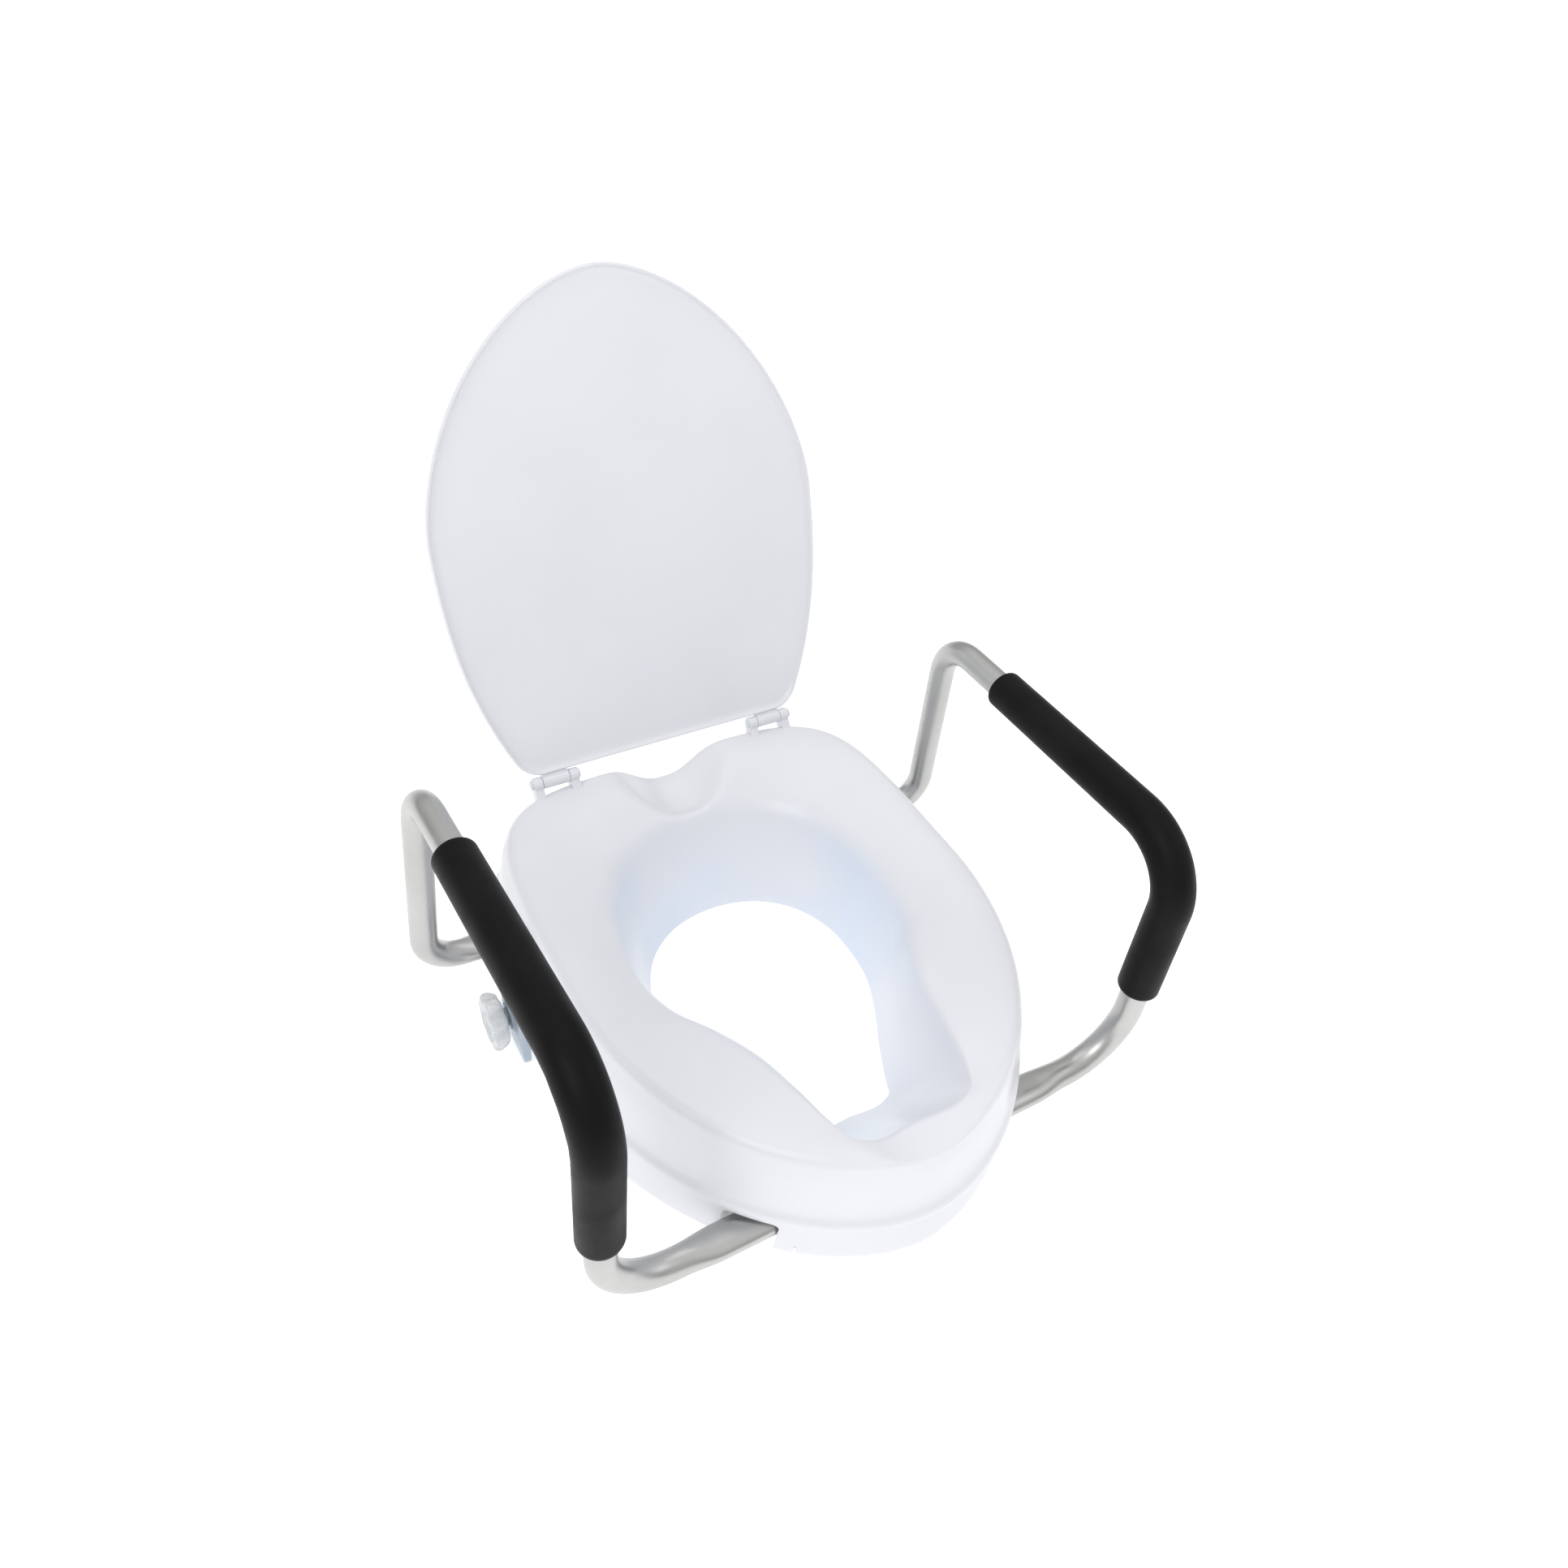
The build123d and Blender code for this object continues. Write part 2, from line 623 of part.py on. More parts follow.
for word, side in SIDES:
    with BuildPart() as clamp_bracket:
        with BuildSketch(Plane.XZ.offset(-clamp_y)):
            with BuildLine():
                Polyline(
                    (side * bracket_inner_x, bracket_top),
                    (side * leg_outer_x, bracket_top),
                    (side * leg_outer_x, clamp_z - boss_radius),
                    (side * (leg_inner_x + leg_tip_thick), leg_low_z),
                    (side * leg_inner_x, leg_low_z),
                    (side * leg_inner_x, bracket_top - bracket_thick),
                    (side * bracket_inner_x, bracket_top - bracket_thick),
                    close=True,
                )
            make_face()
        extrude(amount=bracket_width / 2, both=True)
        fillet(clamp_bracket.edges().filter_by(Axis.X).group_by(Axis.Z)[0], radius=leg_corner)
        fillet(
            clamp_bracket.edges().filter_by(Axis.Z).group_by(Axis.X)[0 if side > 0 else -1],
            radius=bracket_corner,
        )
        with BuildSketch(Plane.YZ.offset(side * leg_inner_x)):
            with Locations((clamp_y, clamp_z)):
                Circle(boss_radius)
        extrude(amount=side * (leg_thick + boss_stand))
        with BuildSketch(Plane.YZ.offset(side * (leg_inner_x - bore_past))):
            with Locations((clamp_y, clamp_z)):
                Circle(clamp_screw_radius + clamp_run)
        extrude(amount=side * (leg_thick + boss_stand + 2 * bore_past), mode=Mode.SUBTRACT)
        with BuildSketch(Plane.XY.offset(bracket_top)):
            with Locations((side * bolt_x, clamp_y)):
                SlotOverall(clamp_slot + slot_travel, clamp_slot)
        extrude(amount=-bracket_thick, mode=Mode.SUBTRACT)
    save(clamp_bracket.part, f"clamp_bracket_{word}")

    with BuildPart() as bracket_bolt:
        head_top = bracket_top - bracket_thick - bolt_gap
        with BuildSketch(Plane.XY.offset(head_top)):
            with Locations((side * bolt_x, clamp_y)):
                Circle(bolt_head_radius)
        extrude(amount=-bolt_head)
        with BuildSketch(Plane.XY.offset(head_top)):
            with Locations((side * bolt_x, clamp_y)):
                Circle(bolt_radius)
        extrude(amount=bracket_top - head_top + bolt_depth - bolt_end_gap)
    save(bracket_bolt.part, f"bracket_bolt_{word}")

    with BuildPart() as clamp_pad:
        with BuildSketch(Plane.YZ.offset(side * pad_face_x)):
            with Locations((clamp_y, clamp_z)):
                Circle(pad_radius)
        extrude(amount=side * pad_thick)
        fillet(clamp_pad.edges().group_by(Axis.X)[0 if side > 0 else -1], radius=pad_edge)
    save(clamp_pad.part, f"clamp_pad_{word}")

    with BuildPart() as pad_foot:
        with BuildSketch(Plane.YZ.offset(side * (pad_face_x + pad_thick))):
            with Locations((clamp_y, clamp_z)):
                Circle(pad_radius)
        extrude(amount=side * pad_foot_thick)
        with BuildSketch(Plane.YZ.offset(side * foot_outer_x)):
            with Locations((clamp_y, clamp_z)):
                Circle(neck_radius + neck_clearance)
        extrude(amount=-side * (pad_foot_thick - neck_floor), mode=Mode.SUBTRACT)
    save(pad_foot.part, f"pad_foot_{word}")

    with BuildPart() as clamp_screw:
        with BuildSketch(Plane.YZ.offset(side * (foot_outer_x + neck_clearance))):
            with Locations((clamp_y, clamp_z)):
                Circle(clamp_screw_radius)
        extrude(amount=side * (knob_inner_x + knob_thick - knob_floor - foot_outer_x - neck_clearance))
        with BuildSketch(Plane.YZ.offset(side * (foot_outer_x + neck_clearance))):
            with Locations((clamp_y, clamp_z)):
                Circle(neck_radius)
        extrude(amount=-side * (pad_foot_thick - neck_floor))
        for turn in range(int((knob_inner_x - foot_outer_x - thread_end) / clamp_pitch)):
            groove_x = foot_outer_x + thread_start + turn * clamp_pitch
            with BuildSketch(Plane.YZ.offset(side * groove_x)):
                with Locations((clamp_y, clamp_z)):
                    Circle(clamp_screw_radius + clamp_thread_depth)
                    Circle(clamp_screw_radius - clamp_thread_depth, mode=Mode.SUBTRACT)
            extrude(amount=side * clamp_pitch / 2, mode=Mode.SUBTRACT)
    save(clamp_screw.part, f"clamp_screw_{word}")

    with BuildPart() as clamp_knob:
        with BuildSketch(Plane.YZ.offset(side * knob_inner_x)):
            with Locations((clamp_y, clamp_z)):
                Circle(knob_radius - knob_lobe_radius * knob_core)
                with PolarLocations(knob_radius - knob_lobe_radius, knob_lobes):
                    Circle(knob_lobe_radius)
        extrude(amount=side * knob_thick)
        fillet(clamp_knob.edges().group_by(Axis.X)[-1 if side > 0 else 0], radius=knob_edge)
        with BuildSketch(Plane.YZ.offset(side * knob_inner_x)):
            with Locations((clamp_y, clamp_z)):
                Circle(clamp_screw_radius + pin_clearance)
        extrude(amount=side * (knob_thick - knob_floor), mode=Mode.SUBTRACT)
    save(clamp_knob.part, f"clamp_knob_{word}")
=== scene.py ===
import bpy
import bmesh
import math
from mathutils import Matrix, Vector


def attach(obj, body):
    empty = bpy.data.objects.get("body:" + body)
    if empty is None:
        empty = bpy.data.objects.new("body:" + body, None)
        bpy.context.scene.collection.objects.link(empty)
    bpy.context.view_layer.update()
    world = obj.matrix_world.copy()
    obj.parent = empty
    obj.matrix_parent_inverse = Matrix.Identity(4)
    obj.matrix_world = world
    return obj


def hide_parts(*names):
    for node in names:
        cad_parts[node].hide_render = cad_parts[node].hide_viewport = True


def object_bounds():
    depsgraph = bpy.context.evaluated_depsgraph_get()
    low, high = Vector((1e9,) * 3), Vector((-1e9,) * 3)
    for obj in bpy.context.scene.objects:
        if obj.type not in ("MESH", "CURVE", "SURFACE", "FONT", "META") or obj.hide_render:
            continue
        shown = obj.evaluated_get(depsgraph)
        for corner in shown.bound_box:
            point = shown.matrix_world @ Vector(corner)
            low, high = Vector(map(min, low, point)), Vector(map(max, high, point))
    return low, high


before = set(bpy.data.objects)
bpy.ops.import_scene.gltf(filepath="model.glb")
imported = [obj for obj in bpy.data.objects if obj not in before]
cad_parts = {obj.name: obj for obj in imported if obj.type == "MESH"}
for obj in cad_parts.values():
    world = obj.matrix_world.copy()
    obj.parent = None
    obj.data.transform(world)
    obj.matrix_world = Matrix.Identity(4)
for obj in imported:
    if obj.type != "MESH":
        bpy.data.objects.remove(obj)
cad_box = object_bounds()

# Everything below is worked out in millimetres, in the frame's own axes: +X the sitter's left,
# -Y the front, +Z up. Meshes are scaled to metres when they are made.
MM = 0.001
SIDES = (("left", 1), ("right", -1))

# ---- sizes, as in the CAD -------------------------------------------------------------------
TOP_Z = 112.0
FOOT_Z = 3.0
BEAD_Z = 45.0
TOP_HALF, FOOT_HALF = 178.0, 199.0
TOP_FRONT, FOOT_FRONT = 213.0, 226.0
TOP_REAR, FOOT_REAR = 234.0, 237.0
WIDEST_Y = 18.0
FRONT_POWER, FOOT_POWER, REAR_POWER = 1.95, 1.8, 5.0
HINGE_X, HINGE_Y, HINGE_Z = 105.0, 230.0, 120.0
LID_ANGLE = math.radians(110.6)
ARM_Y, ARM_LOW_Z = 163.0, 20.0
TUBE_R = 11.1
BARREL_R = 5.8                     # hinge barrels and the lid's knuckles
CLAMP_Y, CLAMP_Z = 106.0, -11.0
AXIS_R = 0.02                      # an end on an axis is closed by a ring this small


# ---- mesh helpers ---------------------------------------------------------------------------
def smooth_step(low, high, value):
    """0 to 1 as value goes from low to high, slow at both ends."""
    share = min(1.0, max(0.0, (value - low) / (high - low)))
    return share * share * (3 - 2 * share)


def soft_min(a, b, reach):
    """The lower of two heights, with the corner between them rounded over a reach."""
    gap = max(0.0, reach - abs(a - b)) / reach
    return min(a, b) - gap * gap * reach / 4


def make_object(name, points, faces):
    """A mesh object from points in millimetres."""
    mesh = bpy.data.meshes.new(name)
    mesh.from_pydata([Vector(p) * MM for p in points], [], faces)
    mesh.update()
    piece = bpy.data.objects.new(name, mesh)
    bpy.context.scene.collection.objects.link(piece)
    return piece


def ring_faces(rings, count, closed=False):
    """Quads between rings of count points each; closed joins the last ring to the first."""
    faces = []
    for r in range(rings if closed else rings - 1):
        low = r * count
        high = ((r + 1) % rings) * count
        for i in range(count):
            j = (i + 1) % count
            faces.append((low + i, low + j, high + j, high + i))
    return faces


def tube_mesh(name, sections):
    """Skin over sections, one list of points each, with flat ends closed."""
    points = [p for section in sections for p in section]
    count = len(sections[0])
    last = (len(sections) - 1) * count
    faces = ring_faces(len(sections), count)
    faces.append(tuple(range(count))[::-1])
    faces.append(tuple(range(last, last + count)))
    return make_object(name, points, faces)


def clean(piece, sharp=35.0):
    """Outward faces, smooth shading, and sharp edges where the surface turns quickly."""
    bm = bmesh.new()
    bm.from_mesh(piece.data)
    bmesh.ops.remove_doubles(bm, verts=bm.verts, dist=0.00001)
    bmesh.ops.recalc_face_normals(bm, faces=bm.faces)
    for face in bm.faces:
        face.smooth = True
    for edge in bm.edges:
        turned = len(edge.link_faces) == 2 and edge.calc_face_angle(0.0) > math.radians(sharp)
        edge.smooth = not turned
    bm.to_mesh(piece.data)
    bm.free()
    return piece


def apply_modifiers(piece):
    """Replaces the mesh by its result with all modifiers."""
    bpy.context.view_layer.update()
    graph = bpy.context.evaluated_depsgraph_get()
    mesh = bpy.data.meshes.new_from_object(piece.evaluated_get(graph))
    piece.modifiers.clear()
    piece.data = mesh
    return piece


def combine(piece, tool, operation):
    """Cuts or joins piece with tool, and removes the tool."""
    change = piece.modifiers.new("combine", "BOOLEAN")
    change.operation = operation
    change.solver = "EXACT"
    change.object = tool
    apply_modifiers(piece)
    bpy.data.objects.remove(tool)
    return piece


def bevel(piece, width, segments=3, angle=40.0):
    """Rounds the sharp edges."""
    change = piece.modifiers.new("bevel", "BEVEL")
    change.width = width * MM
    change.segments = segments
    change.limit_method = "ANGLE"
    change.angle_limit = math.radians(angle)
    change.harden_normals = False
    return apply_modifiers(piece)


def slab(name, low, high, edge=0.0, segments=3):
    """Block between two corners, its edges rounded."""
    xs, ys, zs = zip(low, high)
    points = [(x, y, z) for x in xs for y in ys for z in zs]
    faces = [(0, 1, 3, 2), (4, 6, 7, 5), (0, 4, 5, 1), (2, 3, 7, 6), (0, 2, 6, 4), (1, 5, 7, 3)]
    piece = clean(make_object(name, points, faces))
    return bevel(piece, edge, segments) if edge else piece


def turned(name, profile, centre, axis, segments=48):
    """Solid turned about an axis through centre: profile is (along, radius) pairs."""
    along = Vector(axis)
    across = along.orthogonal().normalized()
    other = along.cross(across)
    sections = []
    for far, radius in profile:
        section = []
        for i in range(segments):
            turn = 2 * math.pi * i / segments
            spoke = across * math.cos(turn) + other * math.sin(turn)
            section.append(Vector(centre) + along * far + spoke * max(radius, AXIS_R))
        sections.append(section)
    return clean(tube_mesh(name, sections), 50.0)


def prism(name, outline, to_point, low, high, edge=0.0, segments=3):
    """Extruded outline: to_point(a, b, depth) gives the place of each corner."""
    count = len(outline)
    points = [to_point(a, b, low) for a, b in outline] + [to_point(a, b, high) for a, b in outline]
    faces = ring_faces(2, count)
    faces.append(tuple(range(count))[::-1])
    faces.append(tuple(range(count, 2 * count)))
    piece = clean(make_object(name, points, faces))
    return bevel(piece, edge, segments) if edge else piece


def even(path, count):
    """count points at even distances along a polyline, ends included."""
    lengths = [0.0]
    for a, b in zip(path, path[1:]):
        lengths.append(lengths[-1] + (Vector(b) - Vector(a)).length)
    out = []
    k = 0
    for i in range(count):
        want = lengths[-1] * i / (count - 1)
        while k < len(path) - 2 and lengths[k + 1] < want:
            k += 1
        span = lengths[k + 1] - lengths[k] or 1.0
        out.append(Vector(path[k]).lerp(Vector(path[k + 1]), (want - lengths[k]) / span))
    return out


# ---- materials ------------------------------------------------------------------------------
MIX_A, MIX_B, MIX_RESULT = 6, 7, 2     # the colour sockets of a Mix node


class Finish:
    """A node material and short ways to add to it."""

    def __init__(self, name, **sockets):
        self.material = bpy.data.materials.new(name)
        self.material.use_nodes = True
        self.tree = self.material.node_tree
        self.shader = self.tree.nodes["Principled BSDF"]
        for key, value in sockets.items():
            self.shader.inputs[key.replace("_", " ")].default_value = value

    def node(self, kind, **values):
        made = self.tree.nodes.new(kind)
        for key, value in values.items():
            if key in made.inputs:
                made.inputs[key].default_value = value
            else:
                setattr(made, key, value)
        return made

    def link(self, out, into):
        self.tree.links.new(out, into)

    def place(self, stretch=(1, 1, 1)):
        """Object coordinates, stretched."""
        source = self.node("ShaderNodeTexCoord")
        mapping = self.node("ShaderNodeMapping")
        mapping.inputs["Scale"].default_value = stretch
        self.link(source.outputs["Object"], mapping.inputs["Vector"])
        return mapping.outputs["Vector"]

    def noise(self, scale, detail=3.0, rough=0.5, stretch=(1, 1, 1)):
        made = self.node("ShaderNodeTexNoise", Scale=scale, Detail=detail, Roughness=rough)
        self.link(self.place(stretch), made.inputs["Vector"])
        return made.outputs["Fac"]

    def ramp(self, value, low, high, low_at=0.35, high_at=0.65):
        """Colour or number between low and high as value goes from low_at to high_at."""
        made = self.node("ShaderNodeValToRGB")
        spots = made.color_ramp.elements
        for spot, place, colour in ((spots[0], low_at, low), (spots[1], high_at, high)):
            spot.position = place
            spot.color = colour if isinstance(colour, tuple) else (colour, colour, colour, 1)
        self.link(value, made.inputs["Fac"])
        return made.outputs["Color"]

    def colour(self, value):
        self.link(value, self.shader.inputs["Base Color"])

    def rough(self, value):
        self.link(value, self.shader.inputs["Roughness"])

    def bumps(self, *layers):
        """Stacked bump layers, each (height, distance in mm, strength)."""
        normal = None
        for height, distance, strength in layers:
            made = self.node("ShaderNodeBump", Strength=strength, Distance=distance * MM)
            self.link(height, made.inputs["Height"])
            if normal:
                self.link(normal, made.inputs["Normal"])
            normal = made.outputs["Normal"]
        self.link(normal, self.shader.inputs["Normal"])


def gloss_white(name, tint, deep, rough, waves, coat=0.2, coat_rough=0.08, painted_shade=None):
    """Moulded glossy plastic: faint mottling, slow surface waves and a fine skin. The last argument
    is the colour of painted shade, mixed in where the mesh's own "depth" values mark."""
    finish = Finish(name, IOR=1.49, Coat_Weight=coat, Coat_Roughness=coat_rough)
    finish.shader.inputs["Subsurface Weight"].default_value = 0.08
    finish.shader.inputs["Subsurface Radius"].default_value = (0.004, 0.004, 0.005)
    finish.shader.inputs["Subsurface Scale"].default_value = 1.0
    plain = finish.ramp(finish.noise(9.0, 4.0), tint, deep)
    # painted shade: a darker, cooler white blended in where the depth values mark the funnel's recess
    if painted_shade:
        depth = finish.node("ShaderNodeAttribute", attribute_name="depth")
        mix = finish.node("ShaderNodeMix", data_type="RGBA")
        finish.link(depth.outputs["Fac"], mix.inputs["Factor"])
        finish.link(plain, mix.inputs[MIX_A])
        finish.link(finish.ramp(finish.noise(7.0, 3.0), painted_shade, deep), mix.inputs[MIX_B])
        plain = mix.outputs[MIX_RESULT]
    finish.colour(plain)
    finish.rough(finish.ramp(finish.noise(24.0, 5.0), rough, rough + 0.07))
    finish.bumps(
        (finish.noise(5.0, 1.0), 0.9 * waves, 0.5),
        (finish.noise(380.0, 2.0), 0.02, 0.35),
    )
    return finish.material


def brushed_metal(name, light, dark, rough, grain=(1, 1, 1)):
    """Satin metal with fine drawing marks and a few handling marks."""
    finish = Finish(name, Metallic=1.0)
    finish.colour(finish.ramp(finish.noise(14.0, 4.0), light, dark))
    finish.rough(finish.ramp(finish.noise(60.0, 6.0, 0.6, grain), rough, rough + 0.12))
    finish.bumps(
        (finish.noise(900.0, 3.0, 0.6, grain), 0.012, 0.4),
        (finish.noise(90.0, 5.0, 0.7), 0.015, 0.25),
    )
    return finish.material


def soft_black(name, base, pale, rough, grain, gloss=0.4, sheen=0.05):
    """Closed-cell foam or rubber skin: fine pores, a dull sheen and paler places."""
    finish = Finish(name, IOR=1.45, Sheen_Weight=sheen, Sheen_Roughness=0.5)
    finish.shader.inputs["Specular IOR Level"].default_value = gloss
    finish.colour(finish.ramp(finish.noise(11.0, 5.0, 0.6), base, pale, 0.4, 0.75))
    finish.rough(finish.ramp(finish.noise(40.0, 4.0), rough, rough + 0.1))
    pores = finish.node("ShaderNodeTexVoronoi", Scale=grain)
    finish.link(finish.place(), pores.inputs["Vector"])
    finish.bumps(
        (finish.noise(28.0, 2.0), 0.25, 0.25),
        (pores.outputs["Distance"], 0.05, 0.35),
    )
    return finish.material


def milky(name, tint, deep, rough, through):
    """Translucent moulded plastic with cloudy places."""
    finish = Finish(name, IOR=1.46, Transmission_Weight=through)
    finish.shader.inputs["Subsurface Weight"].default_value = 0.35
    finish.shader.inputs["Subsurface Radius"].default_value = (0.006, 0.006, 0.007)
    finish.shader.inputs["Subsurface Scale"].default_value = 1.0
    finish.colour(finish.ramp(finish.noise(60.0, 4.0), tint, deep))
    finish.rough(finish.ramp(finish.noise(120.0, 3.0), rough, rough + 0.12))
    finish.bumps((finish.noise(420.0, 2.0), 0.02, 0.4))
    return finish.material


# the seat's white, with a painted shade colour, darker and bluer, for the funnel's wall
seat_white = gloss_white(
    "seat_white", (0.80, 0.81, 0.845, 1), (0.78, 0.79, 0.83, 1), 0.30, 0.25, 0.12, 0.22,
    painted_shade=(0.70, 0.77, 0.88, 1),
)
lid_white = gloss_white(
    "lid_white", (0.79, 0.80, 0.83, 1), (0.77, 0.78, 0.815, 1), 0.16, 1.2, 0.2, 0.10
)
nylon_white = gloss_white("nylon_white", (0.76, 0.78, 0.80, 1), (0.72, 0.74, 0.76, 1), 0.38, 0.2)
tube_metal = brushed_metal(
    "satin_aluminium", (0.53, 0.53, 0.52, 1), (0.48, 0.48, 0.47, 1), 0.30, (1, 1, 14)
)
steel = brushed_metal("zinc_steel", (0.62, 0.63, 0.65, 1), (0.50, 0.51, 0.53, 1), 0.30)
grip_black = soft_black(
    "grip_black", (0.005, 0.005, 0.0055, 1), (0.009, 0.009, 0.0095, 1), 0.42, 900.0, 0.12, 0.0
)
plug_black = soft_black(
    "plug_black", (0.02, 0.02, 0.022, 1), (0.035, 0.035, 0.037, 1), 0.5, 500.0
)
pad_grey = soft_black("pad_grey", (0.22, 0.23, 0.24, 1), (0.30, 0.31, 0.32, 1), 0.62, 600.0)
knob_milky = milky("knob_milky", (0.80, 0.82, 0.83, 1), (0.68, 0.71, 0.73, 1), 0.24, 0.25)
clamp_milky = milky("clamp_milky", (0.54, 0.62, 0.69, 1), (0.46, 0.54, 0.62, 1), 0.30, 0.25)


def finish_piece(piece, material, slot, body, *nodes):
    """Material, replaced CAD nodes and the body the piece rides on; the slot argument is not used."""
    piece.data.materials.clear()
    piece.data.materials.append(material)
    if nodes:
        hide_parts(*nodes)
    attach(piece, body)
    return piece


# ---- seat moulding --------------------------------------------------------------------------
HALF_FRONT, HALF_REAR = 84, 68     # columns from the front to the widest place, and on to the rear
RING = 2 * (HALF_FRONT + HALF_REAR)
EGG_STEPS = 160
WALL_STEPS, ROUND_STEPS, DISH_STEPS, EDGE_STEPS = 14, 10, 14, 8

# half outlines of the opening, from the front round to the rear, at the foot and at the rim
FOOT_HOLE = (
    (0, -112), (36, -111.5), (42.5, -108), (45.5, -100), (52, -84), (61, -64), (76, -34), (88, -2),
    (91, 32), (86, 68), (70, 98), (42, 120), (0, 129),
)
RIM_HOLE = (
    (0, -188), (38, -186), (47.5, -180), (53, -167), (62, -125), (71, -85), (88, -46), (106, -16),
    (115, 18), (114, 60), (103, 108), (80, 144), (48, 164), (0, 172),
)
FOOT_FLARE = 2.0                   # the opening's lowest edge is this much wider
WALL_LOW = 1.0                     # and the funnel starts this far above it
WALL_TOP = 0.86                    # share of the funnel below its rounded rim
WALL_TOE, WALL_TOE_TO = 0.10, 0.16     # share of its lean taken near the foot, and up to where
WALL_POWER = 1.02
DISH_START = 0.16                  # share of the dish that the rounded rim takes up
DISH_POWER = 1.7
TOP_ROUND = 10.0                   # round along the outer top edge

RIM_REAR_Z, RIM_FRONT_Z = 87.0, 109.0
RIM_CLIMB_Y = (30.0, -150.0)       # the rim climbs between these

# dips in the top: lowest height, rise to the sides, half width, where they set in along Y, how
# high they are lifted clear before that, and the round where they meet the top
REAR_DIP_Z, REAR_DIP_RISE, REAR_DIP_HALF = 82.0, 33.0, 67.0
REAR_DIP_FLAT = 0.07               # share of its half width that is flat
REAR_DIP_Y, REAR_DIP_LIFT, REAR_DIP_ROUND = (96.0, 190.0), 60.0, 7.0
FRONT_DIP_Z, FRONT_DIP_RISE, FRONT_DIP_HALF = 102.5, 10.0, 46.0
FRONT_DIP_POWER, FRONT_DIP_PAST = 2.5, 1.4
FRONT_DIP_Y, FRONT_DIP_LIFT, FRONT_DIP_ROUND = (-138.0, -186.0), 40.0, 4.0

# outer wall from under the top's round to the foot, with the bead and the band below it:
# height and how far it stands proud
WALL_PROFILE = (
    (95.0, 0.0), (84.0, 0.0), (74.0, 0.0), (64.0, 0.0), (56.0, 0.2), (52.0, 0.9),
    (BEAD_Z + 5.0, 2.4), (BEAD_Z + 3.0, 3.7), (BEAD_Z + 0.5, 4.1), (BEAD_Z - 2.0, 3.7),
    (BEAD_Z - 3.6, 1.9), (BEAD_Z - 4.4, -0.6), (BEAD_Z - 5.4, -2.2), (BEAD_Z - 8.0, -2.6),
    (28.0, -2.4), (18.0, -2.2), (9.0, -2.0), (5.0, -2.0), (3.6, -2.4), (FOOT_Z, -4.0),
)
DIP_REACH_Z = 60.0                 # above this the wall gives way to the dips
RING_GAP = 0.5                     # and keeps this far under the ring above

# pockets in the underside: half width, ceiling and round; the cutters reach past the outside
CUT_FAR_X, CUT_LOW_Z = 240.0, -20.0
CHANNEL_HALF, CHANNEL_TOP, CHANNEL_ROUND = 15.0, 31.5, 4.0
CHANNEL_FRONT_X, CHANNEL_REAR_X = 46.0, 106.0
STRAP_FRONT_X, STRAP_REAR_X = 76.0, 150.0
STRAP_HALF_X, STRAP_HALF_Y, STRAP_TOP, STRAP_ROUND = 15.5, 25.5, 11.7, 1.5
POCKET_X, POCKET_HALF, POCKET_TOP, POCKET_ROUND = 115.0, 22.3, 10.3, 1.0

# hinge posts: place from the middle of a hinge, half length and front face
POST_X, POST_HALF, POST_ROUND = 16.4, 4.1, 0.7
POST_FRONT = (
    (HINGE_Y - 5.2, HINGE_Z - 2.5), (218.0, 110.5), (216.0, 104.0), (228.0, 103.5),
    (HINGE_Y + 3.0, 108.0),
)
POST_STEPS = 16
POST_FROM, POST_SWEEP = -35, 220   # degrees: where the barrel's round starts, and its length

# where the funnel's painted shade is: around this middle, facing it, and below the rim
FUNNEL_Y, FUNNEL_STRETCH = 20.0, 1.1
SHADE_FACING = (0.15, 0.75)
SHADE_OVER, SHADE_UNDER = 6.0, 16.0


def egg(z, grow):
    """Half outline of the outer wall, front to widest and widest to rear."""
    share = (TOP_Z - z) / TOP_Z
    half = TOP_HALF + (FOOT_HALF - TOP_HALF) * share + grow
    front = TOP_FRONT + (FOOT_FRONT - TOP_FRONT) * share + grow
    rear = TOP_REAR + (FOOT_REAR - TOP_REAR) * share + grow
    power = FRONT_POWER + (FOOT_POWER - FRONT_POWER) * share
    fore, aft = [], []
    for i in range(EGG_STEPS + 1):
        turn = math.pi / 2 * i / EGG_STEPS
        c, s = math.cos(turn), math.sin(turn)
        x, y = half * s ** (2 / power), -(front + WIDEST_Y) * c ** (2 / power)
        fore.append((x, WIDEST_Y + y, 0))
        x, y = half * c ** (2 / REAR_POWER), (rear - WIDEST_Y) * s ** (2 / REAR_POWER)
        aft.append((x, WIDEST_Y + y, 0))
    return fore, aft


def curve(points, parts=24):
    """Smooth line through points, its direction at each from the neighbours on both sides. The
    ends lie on the centre line and meet their mirror image smoothly."""
    points = [Vector((x, y, 0)) for x, y in points]
    before = Vector((-points[1].x, points[1].y, 0))
    after = Vector((-points[-2].x, points[-2].y, 0))
    line = [before] + points + [after]
    slopes = []
    for i in range(1, len(line) - 1):
        low, high = (line[i] - line[i - 1]).length, (line[i + 1] - line[i]).length
        slope = (line[i] - line[i - 1]) / low * high + (line[i + 1] - line[i]) / high * low
        slopes.append(slope / (low + high))
    out = []
    for i in range(len(points) - 1):
        span = (points[i + 1] - points[i]).length
        for k in range(parts):
            t = k / parts
            out.append(
                points[i] * (2 * t ** 3 - 3 * t * t + 1) + points[i + 1] * (3 * t * t - 2 * t ** 3)
                + slopes[i] * (span * (t ** 3 - 2 * t * t + t))
                + slopes[i + 1] * (span * (t ** 3 - t * t))
            )
    return out + [points[-1]]


def keyhole(points, grow=0.0):
    """Half outline of the opening, front to widest and widest to rear."""
    line = curve(points)
    if grow:
        line = [p + p.normalized() * grow for p in line]
    widest = max(range(len(line)), key=lambda i: line[i].x)
    return line[:widest + 1], line[widest:]


